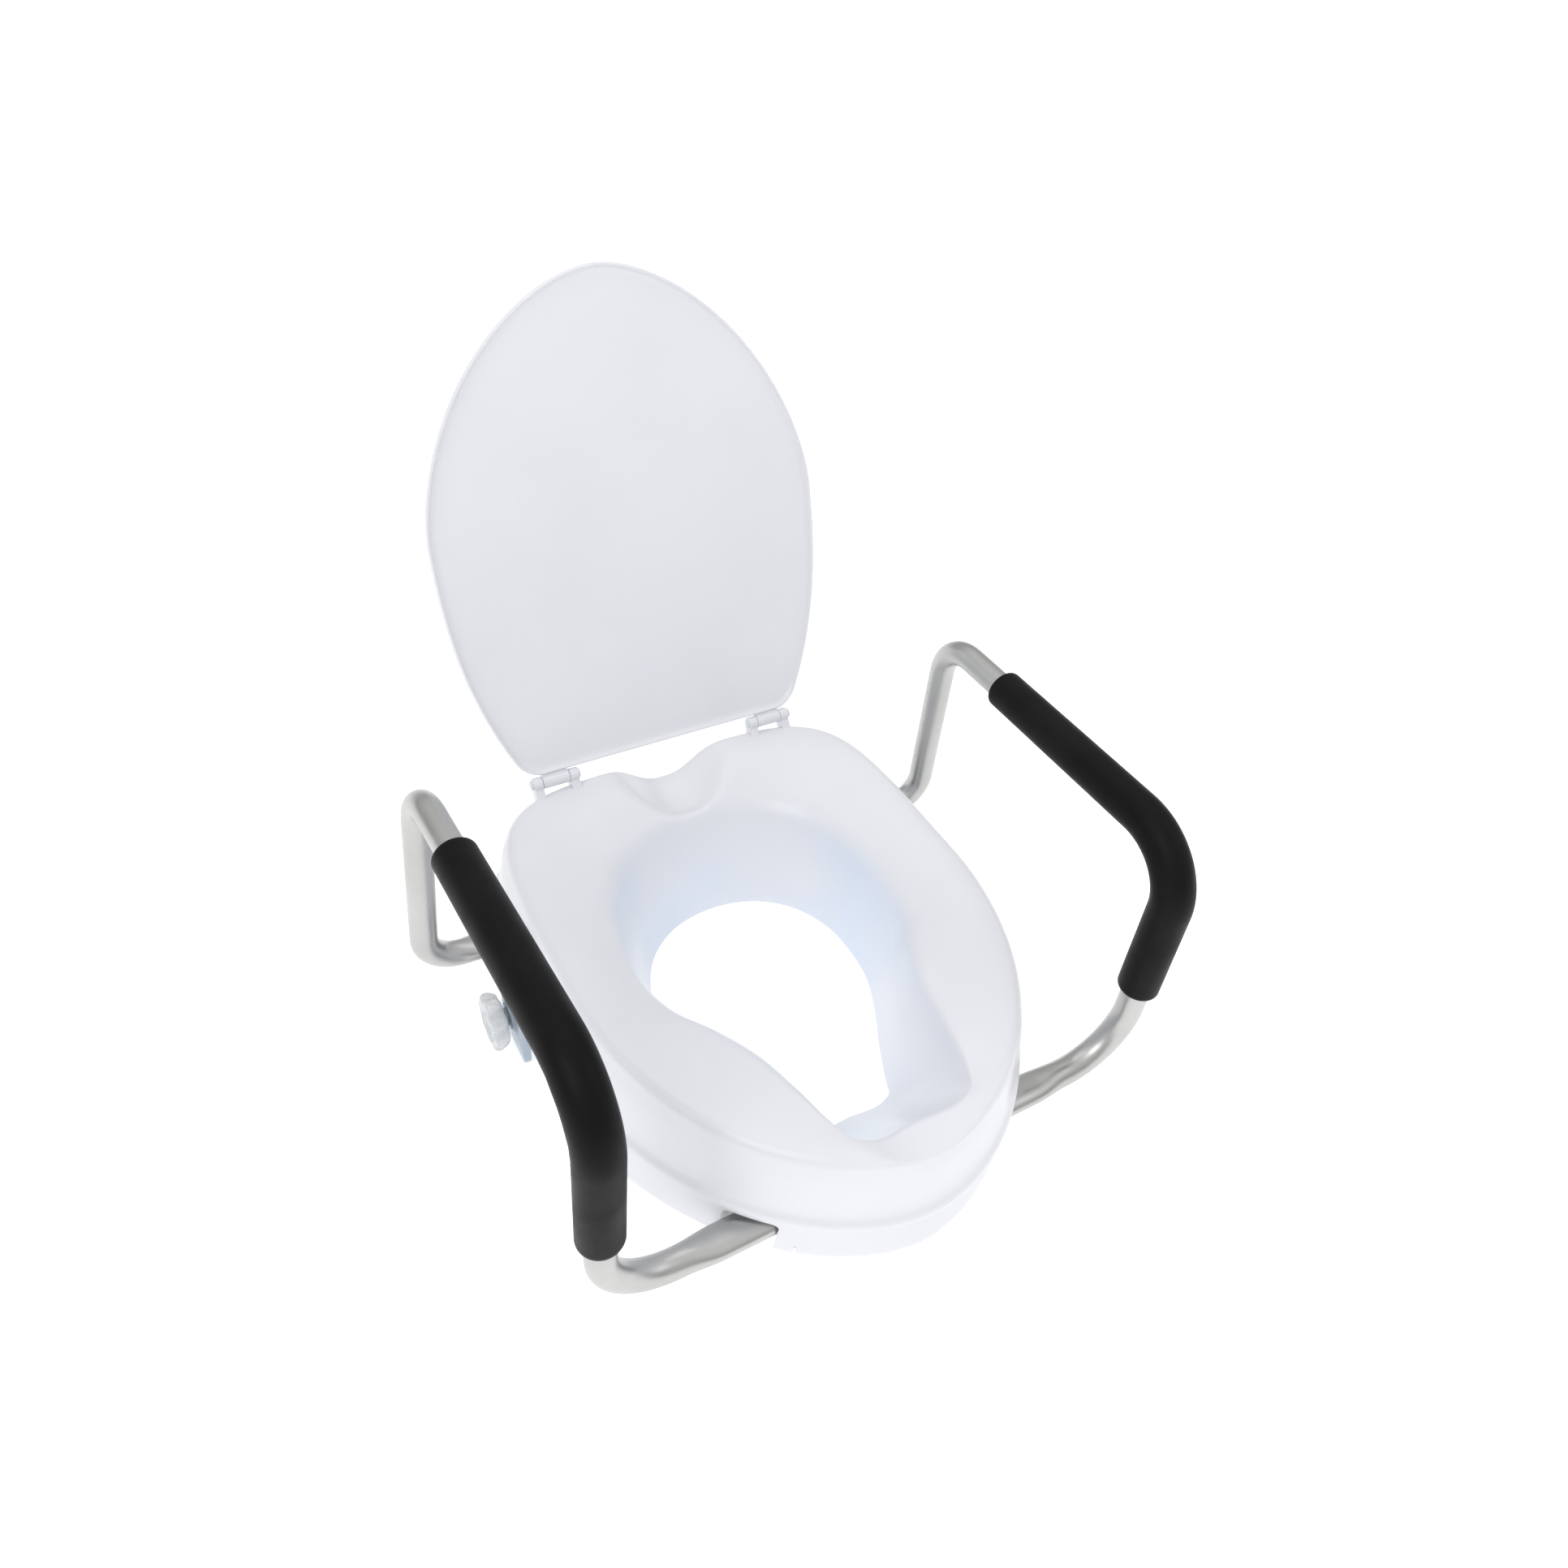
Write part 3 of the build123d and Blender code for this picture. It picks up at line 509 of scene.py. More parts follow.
def mirrored(half):
    """The closed ring of a half outline that starts and ends on the centre line."""
    return half + [Vector((-p.x, p.y, p.z)) for p in reversed(half[1:-1])]


def columns(halves):
    """The closed ring of points for a pair of half outlines, from the front round the left."""
    fore, aft = halves
    return mirrored(even(fore, HALF_FRONT + 1) + even(aft, HALF_REAR + 1)[1:])


def rim_z(y):
    """Height of the inner rim, low round the rear and high along the nose."""
    return RIM_REAR_Z + (RIM_FRONT_Z - RIM_REAR_Z) * smooth_step(*RIM_CLIMB_Y, y)


def top_height(x, y, height):
    """Height of the top skin once the dips at the rear and the front are taken out of it."""
    lift = REAR_DIP_LIFT * (1 - smooth_step(*REAR_DIP_Y, y))
    side = min(1.0, abs(x) / REAR_DIP_HALF)
    trough = REAR_DIP_Z + REAR_DIP_RISE * smooth_step(REAR_DIP_FLAT, 1.0, side) + lift
    height = soft_min(height, trough, REAR_DIP_ROUND)
    lift = FRONT_DIP_LIFT * (1 - smooth_step(*FRONT_DIP_Y, y))
    side = min(FRONT_DIP_PAST, abs(x) / FRONT_DIP_HALF)
    trough = FRONT_DIP_Z + FRONT_DIP_RISE * side ** FRONT_DIP_POWER + lift
    return soft_min(height, trough, FRONT_DIP_ROUND)


def dipped(p):
    """A point of the top skin moved down into the dips."""
    return Vector((p.x, p.y, top_height(p.x, p.y, p.z)))


def wall_point(foot, rim, share):
    """Point up the funnel wall: it leans less towards the top."""
    spread = WALL_TOE * min(1.0, share / WALL_TOE_TO) + (1 - WALL_TOE) * share ** WALL_POWER
    low = FOOT_Z + WALL_LOW
    return Vector((
        foot.x + (rim.x - foot.x) * spread,
        foot.y + (rim.y - foot.y) * spread,
        low + (rim_z(rim.y) - low) * share,
    ))


def dish_point(rim, edge, share):
    """Point on the dished top, part of the way from the inner rim to the outer edge."""
    height = rim_z(rim.y) + (TOP_Z - rim_z(rim.y)) * (1 - (1 - share) ** DISH_POWER)
    return Vector((rim.x + (edge.x - rim.x) * share, rim.y + (edge.y - rim.y) * share, height))


def rim_round(foot, rim, edge, share):
    """Point on the round between the funnel wall and the dish."""
    low, high = wall_point(foot, rim, WALL_TOP), dish_point(rim, edge, DISH_START)
    knee = Vector((rim.x, rim.y, rim_z(rim.y)))
    return low * (1 - share) ** 2 + knee * (2 * share * (1 - share)) + high * share ** 2


def seat_rings():
    """Rings of the seat's skin from the foot of the opening, over the top, to the outer foot."""
    foot, rim = columns(keyhole(FOOT_HOLE)), columns(keyhole(RIM_HOLE))
    outer_top = columns(egg(TOP_Z, -TOP_ROUND))
    rings = [[Vector((p.x, p.y, FOOT_Z)) for p in columns(keyhole(FOOT_HOLE, FOOT_FLARE))]]
    for step in range(WALL_STEPS + 1):
        share = step / WALL_STEPS * WALL_TOP
        rings.append([wall_point(a, b, share) for a, b in zip(foot, rim)])
    for step in range(1, ROUND_STEPS + 1):
        share = step / ROUND_STEPS
        rings.append([dipped(rim_round(*spots, share)) for spots in zip(foot, rim, outer_top)])
    for step in range(1, DISH_STEPS + 1):
        share = DISH_START + (1 - DISH_START) * step / DISH_STEPS
        rings.append([dipped(dish_point(a, b, share)) for a, b in zip(rim, outer_top)])
    for step in range(1, EDGE_STEPS + 1):
        turn = math.pi / 2 * step / EDGE_STEPS
        z = TOP_Z - TOP_ROUND * (1 - math.cos(turn))
        edge = columns(egg(TOP_Z, TOP_ROUND * (math.sin(turn) - 1)))
        rings.append([dipped(Vector((p.x, p.y, z))) for p in edge])
    for z, grow in WALL_PROFILE:
        ring = []
        for k, p in enumerate(columns(egg(z, grow))):
            height = min(z, rings[-1][k].z - RING_GAP) if z > DIP_REACH_Z else z
            ring.append(Vector((p.x, p.y, height)))
        rings.append(ring)
    return rings


def cut_pocket(seat, near, far, y, half, top, edge):
    """Cuts a box up into the underside, between two places along X."""
    low, high = sorted((near, far))
    cutter = slab("cut", (low, y - half, CUT_LOW_Z), (high, y + half, top), edge)
    combine(seat, cutter, "DIFFERENCE")


def hinge_post(x):
    """One seat-side hinge barrel with the post below it, in the middle at x."""
    outline = list(POST_FRONT)
    for i in range(POST_STEPS + 1):
        turn = math.radians(POST_FROM + POST_SWEEP * i / POST_STEPS)
        outline.append((HINGE_Y + BARREL_R * math.cos(turn), HINGE_Z + BARREL_R * math.sin(turn)))
    return prism(
        "post", outline, lambda a, b, d: (d, a, b), x - POST_HALF, x + POST_HALF, POST_ROUND, 2
    )


def build_seat():
    rings = seat_rings()
    points = [p for ring in rings for p in ring]
    seat = clean(make_object("seat_moulding", points, ring_faces(len(rings), RING, closed=True)))
    for _, side in SIDES:
        for y, near in ((-ARM_Y, CHANNEL_FRONT_X), (ARM_Y, CHANNEL_REAR_X)):
            size = (CHANNEL_HALF, CHANNEL_TOP, CHANNEL_ROUND)
            cut_pocket(seat, side * near, side * CUT_FAR_X, y, *size)
        for x, y in ((STRAP_FRONT_X, -ARM_Y), (STRAP_REAR_X, ARM_Y)):
            ends = (side * x - STRAP_HALF_X, side * x + STRAP_HALF_X)
            cut_pocket(seat, *ends, y, STRAP_HALF_Y, STRAP_TOP, STRAP_ROUND)
        size = (POCKET_HALF, POCKET_TOP, POCKET_ROUND)
        cut_pocket(seat, side * POCKET_X, side * CUT_FAR_X, CLAMP_Y, *size)
    for middle in (-HINGE_X, HINGE_X):
        for end in (-1, 1):
            combine(seat, hinge_post(middle + end * POST_X), "UNION")
    return clean(seat, 32.0)


def mark_painted_shade(seat):
    """Values on the mesh that place the painted shade: 1 down the funnel's wall, fading out over its
    rim.
    """
    mesh = seat.data
    marks = mesh.attributes.new("depth", "FLOAT", "POINT")
    for k, vertex in enumerate(mesh.vertices):
        x, y, z = vertex.co / MM
        outward = Vector((x, FUNNEL_STRETCH * (y - FUNNEL_Y), 0)).normalized()
        low = smooth_step(rim_z(y) + SHADE_OVER, rim_z(y) - SHADE_UNDER, z)
        marks.data[k].value = smooth_step(*SHADE_FACING, -outward.dot(vertex.normal)) * low


seat = build_seat()
mark_painted_shade(seat)
finish_piece(seat, seat_white, "white_plastic", "seat", "seat_body")

# ---- lid ------------------------------------------------------------------------------------
LID_AXIS = Vector((0, HINGE_Y, HINGE_Z))
LID_UP = Vector((0, -math.cos(LID_ANGLE), math.sin(LID_ANGLE)))
LID_OUT = Vector((0, -math.sin(LID_ANGLE), -math.cos(LID_ANGLE)))
LID_HALF, LID_FOOT, LID_WIDEST, LID_TIP, LID_START = 172.4, 129.0, 209.7, 411.6, 7.5
LID_LOW_POWER, LID_HIGH_POWER = 2.45, 1.74
LID_CORNER, LID_CORNER_CUT = 15.0, 13.0    # corners at the hinge edge: length along it, and depth
LID_ROWS, LID_FOOT_ROWS, LID_STEPS = 120, 12, 400
LID_SHARES = (0.0005, 0.15, 0.3, 0.45, 0.6, 0.75, 0.88)    # rings of the panel, from its middle
LID_PANEL_INSET = 20.0
LID_MIDDLE = Vector((0, LID_WIDEST - 8, 0))    # the panel's rings shrink towards here
LID_TOP_SKIN, LID_UNDER_SKIN = -6.2, -3.4  # middle of the panel, out of the lid's plane
# rolled edge and returned lip: inset from the outline and height out of the lid's plane
LID_EDGE = (
    (20.0, -5.1), (8.0, -4.9), (3.0, -4.6), (1.0, -4.0), (0.15, -2.8), (0.0, -1.0), (0.0, 0.4),
    (0.2, 1.5), (1.0, 2.2), (1.9, 2.0), (2.5, 1.1), (3.4, -0.6), (5.2, -1.5), (9.0, -2.0),
    (20.0, -2.4),
)
KNUCKLE_HALF, KNUCKLE_EDGE = 12.0, 0.6
WEB_OUTLINE = ((-5.0, 2.0), (-5.0, 14.0), (-2.4, 14.0), (-0.6, 9.0), (2.0, 4.0))
WEB_ROUND = 0.4


def lid_point(x, along, out):
    """Place of a point given across the lid, along it from the hinge axis, and out of its plane."""
    return Vector((x, 0, 0)) + LID_AXIS + LID_UP * along + LID_OUT * out


def lid_half(along, inset):
    """Half width of the lid at a distance from the hinge."""
    half, foot, tip = LID_HALF - inset, LID_FOOT - inset, LID_TIP - inset
    if along <= LID_WIDEST:
        corner = max(0.0, 1 - (along - LID_START - inset) / LID_CORNER)
        cut = LID_CORNER_CUT * (1 - math.sqrt(max(0.0, 1 - corner * corner)))
        bulge = 1 - ((LID_WIDEST - along) / (LID_WIDEST - LID_START)) ** LID_LOW_POWER
        return foot + (half - foot) * bulge - cut
    share = min(1.0, (along - LID_WIDEST) / (tip - LID_WIDEST))
    return half * (1 - share ** LID_HIGH_POWER) ** (1 / LID_HIGH_POWER)


def lid_ring(inset):
    """Closed outline of the lid at an inset, evenly spaced, in the lid's own plane."""
    low, high = LID_START + inset, LID_TIP - inset
    path = []
    for i in range(LID_STEPS + 1):
        share = (1 - math.cos(math.pi * i / LID_STEPS)) / 2
        along = low + (high - low) * share
        path.append((max(0.0, lid_half(along, inset)), along, 0))
    edge = lid_half(low, inset)
    half = [Vector((edge * i / LID_FOOT_ROWS, low, 0)) for i in range(LID_FOOT_ROWS)]
    half += even(path, LID_ROWS)
    half[-1] = Vector((0, high, 0))
    return mirrored(half)


def panel_rings(skin):
    """Rings from the middle of the panel outward; the panel is slightly crowned."""
    rings = []
    for share in LID_SHARES:
        spots = [LID_MIDDLE + (p - LID_MIDDLE) * share for p in lid_ring(LID_PANEL_INSET)]
        rings.append([lid_point(p.x, p.y, skin + share * share) for p in spots])
    return rings


def build_lid():
    """A shallow tray: crowned panel, rolled edge and a short returned lip."""
    sections = panel_rings(LID_TOP_SKIN)
    for inset, out in LID_EDGE:
        sections.append([lid_point(p.x, p.y, out) for p in lid_ring(inset)])
    sections += reversed(panel_rings(LID_UNDER_SKIN))
    lid = clean(tube_mesh("lid_panel", sections), 60.0)
    half, flat = KNUCKLE_HALF, KNUCKLE_HALF - KNUCKLE_EDGE
    end_r = BARREL_R - KNUCKLE_EDGE
    profile = [(-half, 0), (-half, end_r), (-flat, BARREL_R)]
    profile += [(-far, radius) for far, radius in reversed(profile)]
    for middle in (-HINGE_X, HINGE_X):
        knuckle = turned("knuckle", profile, (middle, HINGE_Y, HINGE_Z), (1, 0, 0), 40)
        combine(lid, knuckle, "UNION")
        web = prism(
            "web", WEB_OUTLINE, lambda a, b, d: lid_point(d, b, a), middle - flat, middle + flat,
            WEB_ROUND, 2,
        )
        combine(lid, web, "UNION")
    return clean(lid, 40.0)


finish_piece(build_lid(), lid_white, "white_plastic", "lid", "lid")


# ---- hinge pins and caps --------------------------------------------------------------------
PIN_START, CAP_START = 22.0, 20.5  # from a hinge's middle: the pin's head inward, its cap outward
# distance along the axis and radius
PIN_PROFILE = (
    (0, 0), (0, 3.6), (0.6, 4.2), (1.5, 4.2), (1.5, 2.5), (42.0, 2.5), (42.6, 2.0), (42.6, 0),
)
CAP_PROFILE = ((0, 0), (0, 4.2), (1.6, 4.2), (2.3, 3.5), (2.5, 2.4), (2.5, 0))

for word, side in SIDES:
    for kind, profile, x in (
        ("hinge_pin", PIN_PROFILE, HINGE_X - PIN_START), ("pin_cap", CAP_PROFILE, HINGE_X + CAP_START)
    ):
        name = f"{kind}_{word}"
        start = (side * x, HINGE_Y, HINGE_Z)
        piece = turned(f"{name}_shaped", profile, start, (side, 0, 0), 40)
        finish_piece(piece, nylon_white, "white_nylon", "seat", name)

# ---- arms -----------------------------------------------------------------------------------
BENDS = (56.0, 52.0, 42.0, 32.0)
GRIP_BEND = BENDS[1]
OVAL = (13.5, 8.0)                 # flattened tube: half width and half height
OVAL_POWER = 0.90                  # how square its section is, 1 is an ellipse
ARM_FRONT_X, ARM_REAR_X = 227.0, 249.0
ARM_TOP_FRONT = (225.0, 247.0)     # x, z
ARM_TOP_REAR = (238.0, 150.0, 228.0)
FLAT_FRONT_X, FLAT_REAR_X = 141.0, 203.0       # the flattened ends are straight up to here
END_FRONT_X, END_REAR_X = 48.0, 108.0
ROUND_FRONT_X, ROUND_REAR_X = (139.0, 171.0), (201.0, 222.0)   # where flat turns to round
GRIP_R = 16.4
GRIP_REAR_GAP = 84.0               # bare tube between the rear corner and the grip
GRIP_LOW_Z = 103.0
# rounded end of the foam: distance from the end and radius
GRIP_END = ((0.0, 11.6), (0.0, 14.2), (0.25, 15.3), (0.9, 16.1), (1.9, 16.4))
END_APART = 0.01                   # added between sections of the end, to keep them apart
CREASE_DEPTH, CREASE_REACH, CREASE_PITCH = 0.35, 75.0, 0.55


def arm_corners(side):
    """Corners of the tube's centre line, from the flattened front end round to the rear one."""
    corners = (
        (FLAT_FRONT_X, -ARM_Y, ARM_LOW_Z), (ARM_FRONT_X, -ARM_Y, ARM_LOW_Z),
        (ARM_TOP_FRONT[0], -ARM_Y, ARM_TOP_FRONT[1]), ARM_TOP_REAR,
        (ARM_REAR_X, ARM_Y, ARM_LOW_Z), (FLAT_REAR_X, ARM_Y, ARM_LOW_Z),
    )
    return [Vector((side * x, y, z)) for x, y, z in corners]


def rounded_path(corners, radii, step=5.0):
    """Evenly divided line through corners, each bend an arc."""
    path = [corners[0]]
    for i, radius in enumerate(radii, 1):
        before = (corners[i - 1] - corners[i]).normalized()
        after = (corners[i + 1] - corners[i]).normalized()
        half = before.angle(after) / 2
        centre = corners[i] + (before + after).normalized() * (radius / math.sin(half))
        start = corners[i] + before * (radius / math.tan(half))
        end = corners[i] + after * (radius / math.tan(half))
        a, b = start - centre, end - centre
        sweep = a.angle(b)
        parts = max(8, int(radius * sweep / 3.0))
        for k in range(parts + 1):
            share = k / parts
            spoke = a * (math.sin((1 - share) * sweep) / math.sin(sweep))
            spoke += b * (math.sin(share * sweep) / math.sin(sweep))
            path.append(centre + spoke)
    path.append(corners[-1])
    total = sum((b - a).length for a, b in zip(path, path[1:]))
    return even(path, int(total / step) + 1)


def sweep_sections(path, shape, segments):
    """Sections along a path, each turned with it without twisting; shape(k, turn) gives
    the two offsets across it."""
    sections = []
    across = Vector((0, 1, 0))
    for k, p in enumerate(path):
        ahead = (path[min(k + 1, len(path) - 1)] - path[max(k - 1, 0)]).normalized()
        across = (across - ahead * across.dot(ahead)).normalized()
        other = ahead.cross(across)
        section = []
        for i in range(segments):
            a, b = shape(k, 2 * math.pi * i / segments)
            section.append(p + across * a + other * b)
        sections.append(section)
    return sections


def build_tube(side, word):
    """Bent tube, round above and flattened where its ends go into the seat."""
    corners = arm_corners(side)
    middle = rounded_path(corners, BENDS, 4.0)
    front = even([Vector((side * END_FRONT_X, -ARM_Y, ARM_LOW_Z)), corners[0]], 20)
    rear = even([corners[-1], Vector((side * END_REAR_X, ARM_Y, ARM_LOW_Z))], 20)
    path = front[:-1] + middle + rear[1:]

    def shape(k, turn):
        p = path[k]
        share = smooth_step(*(ROUND_FRONT_X if p.y < 0 else ROUND_REAR_X), abs(p.x))
        wide, high = (flat + (TUBE_R - flat) * share for flat in OVAL)
        power = OVAL_POWER + (1 - OVAL_POWER) * share
        c, s = math.cos(turn), math.sin(turn)
        return (
            wide * math.copysign(abs(c) ** power, c),
            high * math.copysign(abs(s) ** power, s),
        )

    return clean(tube_mesh(f"arm_tube_{word}_shaped", sweep_sections(path, shape, 48)), 60.0)


def build_grip(side, word):
    """Foam sleeve over the top bar, round the front bend and down the front leg."""
    corners = arm_corners(side)
    rear, front, low = corners[3], corners[2], corners[1]
    start = rear + (front - rear).normalized() * GRIP_REAR_GAP
    end = front + (low - front) * ((front.z - GRIP_LOW_Z) / (front.z - low.z))
    line = rounded_path([start, front, end], (GRIP_BEND,), 2.5)
    first, last = line[0], line[-1]
    ahead_first, ahead_last = (line[1] - first).normalized(), (last - line[-2]).normalized()
    steps = [far + END_APART * i for i, (far, _) in enumerate(GRIP_END)]
    end_radii = [radius for _, radius in GRIP_END]
    inner = line[2:-2]
    path = [first + ahead_first * step for step in steps] + inner
    path += [last - ahead_last * step for step in reversed(steps)]
    radii = end_radii + [GRIP_R] * len(inner) + end_radii[::-1]

    def shape(k, turn):
        """The sleeve swells a little over the inside of the bend, where the foam is squeezed."""
        near = max(0.0, 1 - (path[k] - front).length / CREASE_REACH)
        crease = CREASE_DEPTH * near * math.sin((path[k].y - path[k].z) * CREASE_PITCH)
        radius = radii[k] + crease * max(0.0, -math.cos(turn)) ** 2
        return radius * math.cos(turn), radius * math.sin(turn)

    return clean(tube_mesh(f"arm_grip_{word}_shaped", sweep_sections(path, shape, 56)), 50.0)


for word, side in SIDES:
    body = f"arm_{word}"
    finish_piece(build_tube(side, word), tube_metal, "aluminium_tube", body, f"arm_tube_{word}")
    grip = finish_piece(build_grip(side, word), grip_black, "black_grip", body, f"arm_grip_{word}")

# ---- bowl clamps ----------------------------------------------------------------------------
LEG_IN, LEG_OUT = 189.0, 198.0
LEG_TIP_X, LEG_LOW_Z = 194.0, -62.0
LEG_TAPER_Z = -24.0                # the leg thins from here to its tip
LEG_CORNER, LEG_CORNER_STEPS = 14.0, 12
BRACKET_IN, BRACKET_LOW_Z, BRACKET_TOP_Z, BRACKET_HALF = 122.0, 4.0, 10.0, 22.0
KEEP_X, KEEP_TOP_Z = (110.0, 215.0), 20.0
BOLT_X, SLOT_R, SLOT_TRAVEL, SLOT_STEPS = 145.0, 3.2, 6.0, 24
SLOT_Z = (0.0, 14.0)
# distance from the leg's inner face and radius
BOSS_PROFILE = ((0, 0), (0, 14.2), (9.2, 13.4), (10.4, 12.9), (11.0, 12.0), (11.0, 0))
BORE_PROFILE = ((-5, 0), (-5, 8.1), (20, 8.1), (20, 0))

KNOB_IN, KNOB_R = 204.0, 25.2
KNOB_LOBES, KNOB_SEGMENTS = 8, 128
LOBE_DEPTH, LOBE_POWER = 3.6, 1.4
LOBE_SHARES = (0.45, 0.85)         # the lobes set in between these shares of the radius
# distance from the knob's inner face and share of its radius, over the rim into the dish
KNOB_PROFILE = (
    (0.0, 0.02), (0.0, 0.36), (0.0, 0.72), (0.35, 0.80), (1.3, 0.86), (4.0, 0.93), (7.0, 0.985),
    (9.5, 1.0), (11.6, 0.985), (13.0, 0.94), (13.8, 0.87), (14.0, 0.78), (13.7, 0.70),
    (12.4, 0.60), (11.8, 0.50), (11.7, 0.36), (12.3, 0.30), (12.5, 0.20), (12.5, 0.02),
)

SCREW_START, SCREW_LENGTH, SCREW_PITCH = 178.3, 36.7, 4.0
SCREW_SEGMENTS, SCREW_ROWS_PER_TURN = 40, 16
SCREW_CORE, SCREW_SKIN, SCREW_RIDGE = 6.8, 0.2, 0.95
RIDGE_TOP, RIDGE_FLANK = 1.6, 3.6  # shape of the ridge: height at its middle and fall to its sides
THREAD_IN, THREAD_OUT = 3.0, 6.0   # lengths over which the ridge fades in and out
THREAD_GAP, SCREW_CAP = 0.1, 0.4
SCREW_NECK = ((173.8, AXIS_R), (173.8, 4.4), (174.4, 5.0), (178.2, 5.0), (178.3, 6.2))

PAD_X, PAD_FOOT_X = 168.0, 172.0
# distance from the pad's face, and from the foot's, and radius
PAD_PROFILE = (
    (0.8, 0), (0.8, 9.0), (0.0, 10.0), (0.0, 13.2), (0.3, 14.4), (1.1, 15.0), (4.0, 15.0), (4.0, 0),
)
PAD_FOOT_PROFILE = (
    (0, 0), (0, 14.6), (0.5, 15.0), (2.6, 15.0), (3.6, 14.0), (4.4, 9.6), (5.4, 8.4), (6, 7.8),
    (6, 5.3), (1.5, 5.3), (1.5, 0),
)


def on_clamp(name, side, x, profile, segments):
    """Solid turned about the clamp's axis, its profile measured outward from x."""
    return turned(name, profile, (side * x, CLAMP_Y, CLAMP_Z), (side, 0, 0), segments)


def build_bracket(side, word):
    """Angle bracket: a flat arm with a slot, a leg that thins to its rounded tip, and a boss."""
    low, top = BRACKET_LOW_Z, BRACKET_TOP_Z
    outline = (
        (BRACKET_IN, low), (BRACKET_IN, top), (LEG_OUT - 6.0, top), (LEG_OUT - 2.5, top - 0.8),
        (LEG_OUT - 0.6, top - 2.8), (LEG_OUT, low), (LEG_OUT, LEG_TAPER_Z), (LEG_TIP_X, LEG_LOW_Z),
        (LEG_IN, LEG_LOW_Z), (LEG_IN, low - 3.0), (LEG_IN - 1.0, low - 0.8), (LEG_IN - 3.2, low),
    )
    piece = prism(
        f"clamp_bracket_{word}_shaped", outline, lambda a, b, d: (side * a, d, b),
        CLAMP_Y - BRACKET_HALF, CLAMP_Y + BRACKET_HALF,
    )
    # the leg's tip is rounded by keeping what lies inside a plate with rounded corners
    plate = []
    for end, first in ((-1, 180), (1, -90)):
        y = CLAMP_Y + end * (BRACKET_HALF - LEG_CORNER)
        for i in range(LEG_CORNER_STEPS + 1):
            turn = math.radians(first + 90 * i / LEG_CORNER_STEPS)
            z = LEG_LOW_Z + LEG_CORNER + LEG_CORNER * math.sin(turn)
            plate.append((y + LEG_CORNER * math.cos(turn), z))
    plate += [(CLAMP_Y + BRACKET_HALF, KEEP_TOP_Z), (CLAMP_Y - BRACKET_HALF, KEEP_TOP_Z)]
    combine(piece, prism("keep", plate, lambda a, b, d: (side * d, a, b), *KEEP_X), "INTERSECT")
    slot = []
    for i in range(SLOT_STEPS):
        turn = 2 * math.pi * i / SLOT_STEPS
        shift = SLOT_TRAVEL if math.cos(turn) >= 0 else -SLOT_TRAVEL
        slot.append((BOLT_X + shift + SLOT_R * math.cos(turn), CLAMP_Y + SLOT_R * math.sin(turn)))
    combine(piece, prism("cut", slot, lambda a, b, d: (side * a, b, d), *SLOT_Z), "DIFFERENCE")
    bevel(piece, 1.0, 3, 50.0)
    combine(piece, on_clamp("boss", side, LEG_IN, BOSS_PROFILE, 56), "UNION")
    combine(piece, on_clamp("bore", side, LEG_IN, BORE_PROFILE, 48), "DIFFERENCE")
    return clean(piece, 40.0)


def build_knob(side, word):
    """Lobed knob with a dished face, drawn in towards the clamp."""
    sections = []
    for far, share in KNOB_PROFILE:
        section = []
        for i in range(KNOB_SEGMENTS):
            turn = 2 * math.pi * i / KNOB_SEGMENTS
            wave = 0.5 - 0.5 * math.cos(KNOB_LOBES * turn)
            depth = LOBE_DEPTH * wave ** LOBE_POWER * smooth_step(*LOBE_SHARES, share)
            radius = (KNOB_R - depth) * share
            across, above = radius * math.sin(turn), radius * math.cos(turn)
            section.append((side * (KNOB_IN + far), CLAMP_Y + across, CLAMP_Z + above))
        sections.append(section)
    return clean(tube_mesh(f"clamp_knob_{word}_shaped", sections), 50.0)


def build_screw(side, word):
    """Threaded spindle: a helical ridge about the core, a neck at the pad and a plain end."""
    rows = int(SCREW_LENGTH / SCREW_PITCH * SCREW_ROWS_PER_TURN)

    def ring(x, radius_of):
        section = []
        for i in range(SCREW_SEGMENTS):
            turn = 2 * math.pi * i / SCREW_SEGMENTS
            radius = radius_of(turn)
            section.append(
                (side * x, CLAMP_Y + radius * math.cos(turn), CLAMP_Z + radius * math.sin(turn))
            )
        return section

    def thread(turn, far):
        fade = smooth_step(0.0, THREAD_IN, far)
        fade *= smooth_step(SCREW_LENGTH, SCREW_LENGTH - THREAD_OUT, far)
        phase = (far / SCREW_PITCH - turn / (2 * math.pi)) % 1.0
        ridge = max(0.0, min(1.0, RIDGE_TOP - RIDGE_FLANK * abs(phase - 0.5)))
        return SCREW_CORE + (SCREW_SKIN + SCREW_RIDGE * ridge) * fade

    sections = [ring(x, lambda turn, radius=radius: radius) for x, radius in SCREW_NECK]
    for r in range(rows + 1):
        far = SCREW_LENGTH * r / rows
        sections.append(ring(SCREW_START + THREAD_GAP + far, lambda turn, far=far: thread(turn, far)))
    sections.append(ring(SCREW_START + SCREW_LENGTH + SCREW_CAP, lambda turn: AXIS_R))
    return clean(tube_mesh(f"clamp_screw_{word}_shaped", sections), 60.0)


def build_pad(side, word):
    """Rubber pad with a hollow face."""
    return on_clamp(f"clamp_pad_{word}_shaped", side, PAD_X, PAD_PROFILE, 56)


def build_pad_foot(side, word):
    """Stepped foot behind the pad, hollow where the screw's neck goes in."""
    return on_clamp(f"pad_foot_{word}_shaped", side, PAD_FOOT_X, PAD_FOOT_PROFILE, 56)


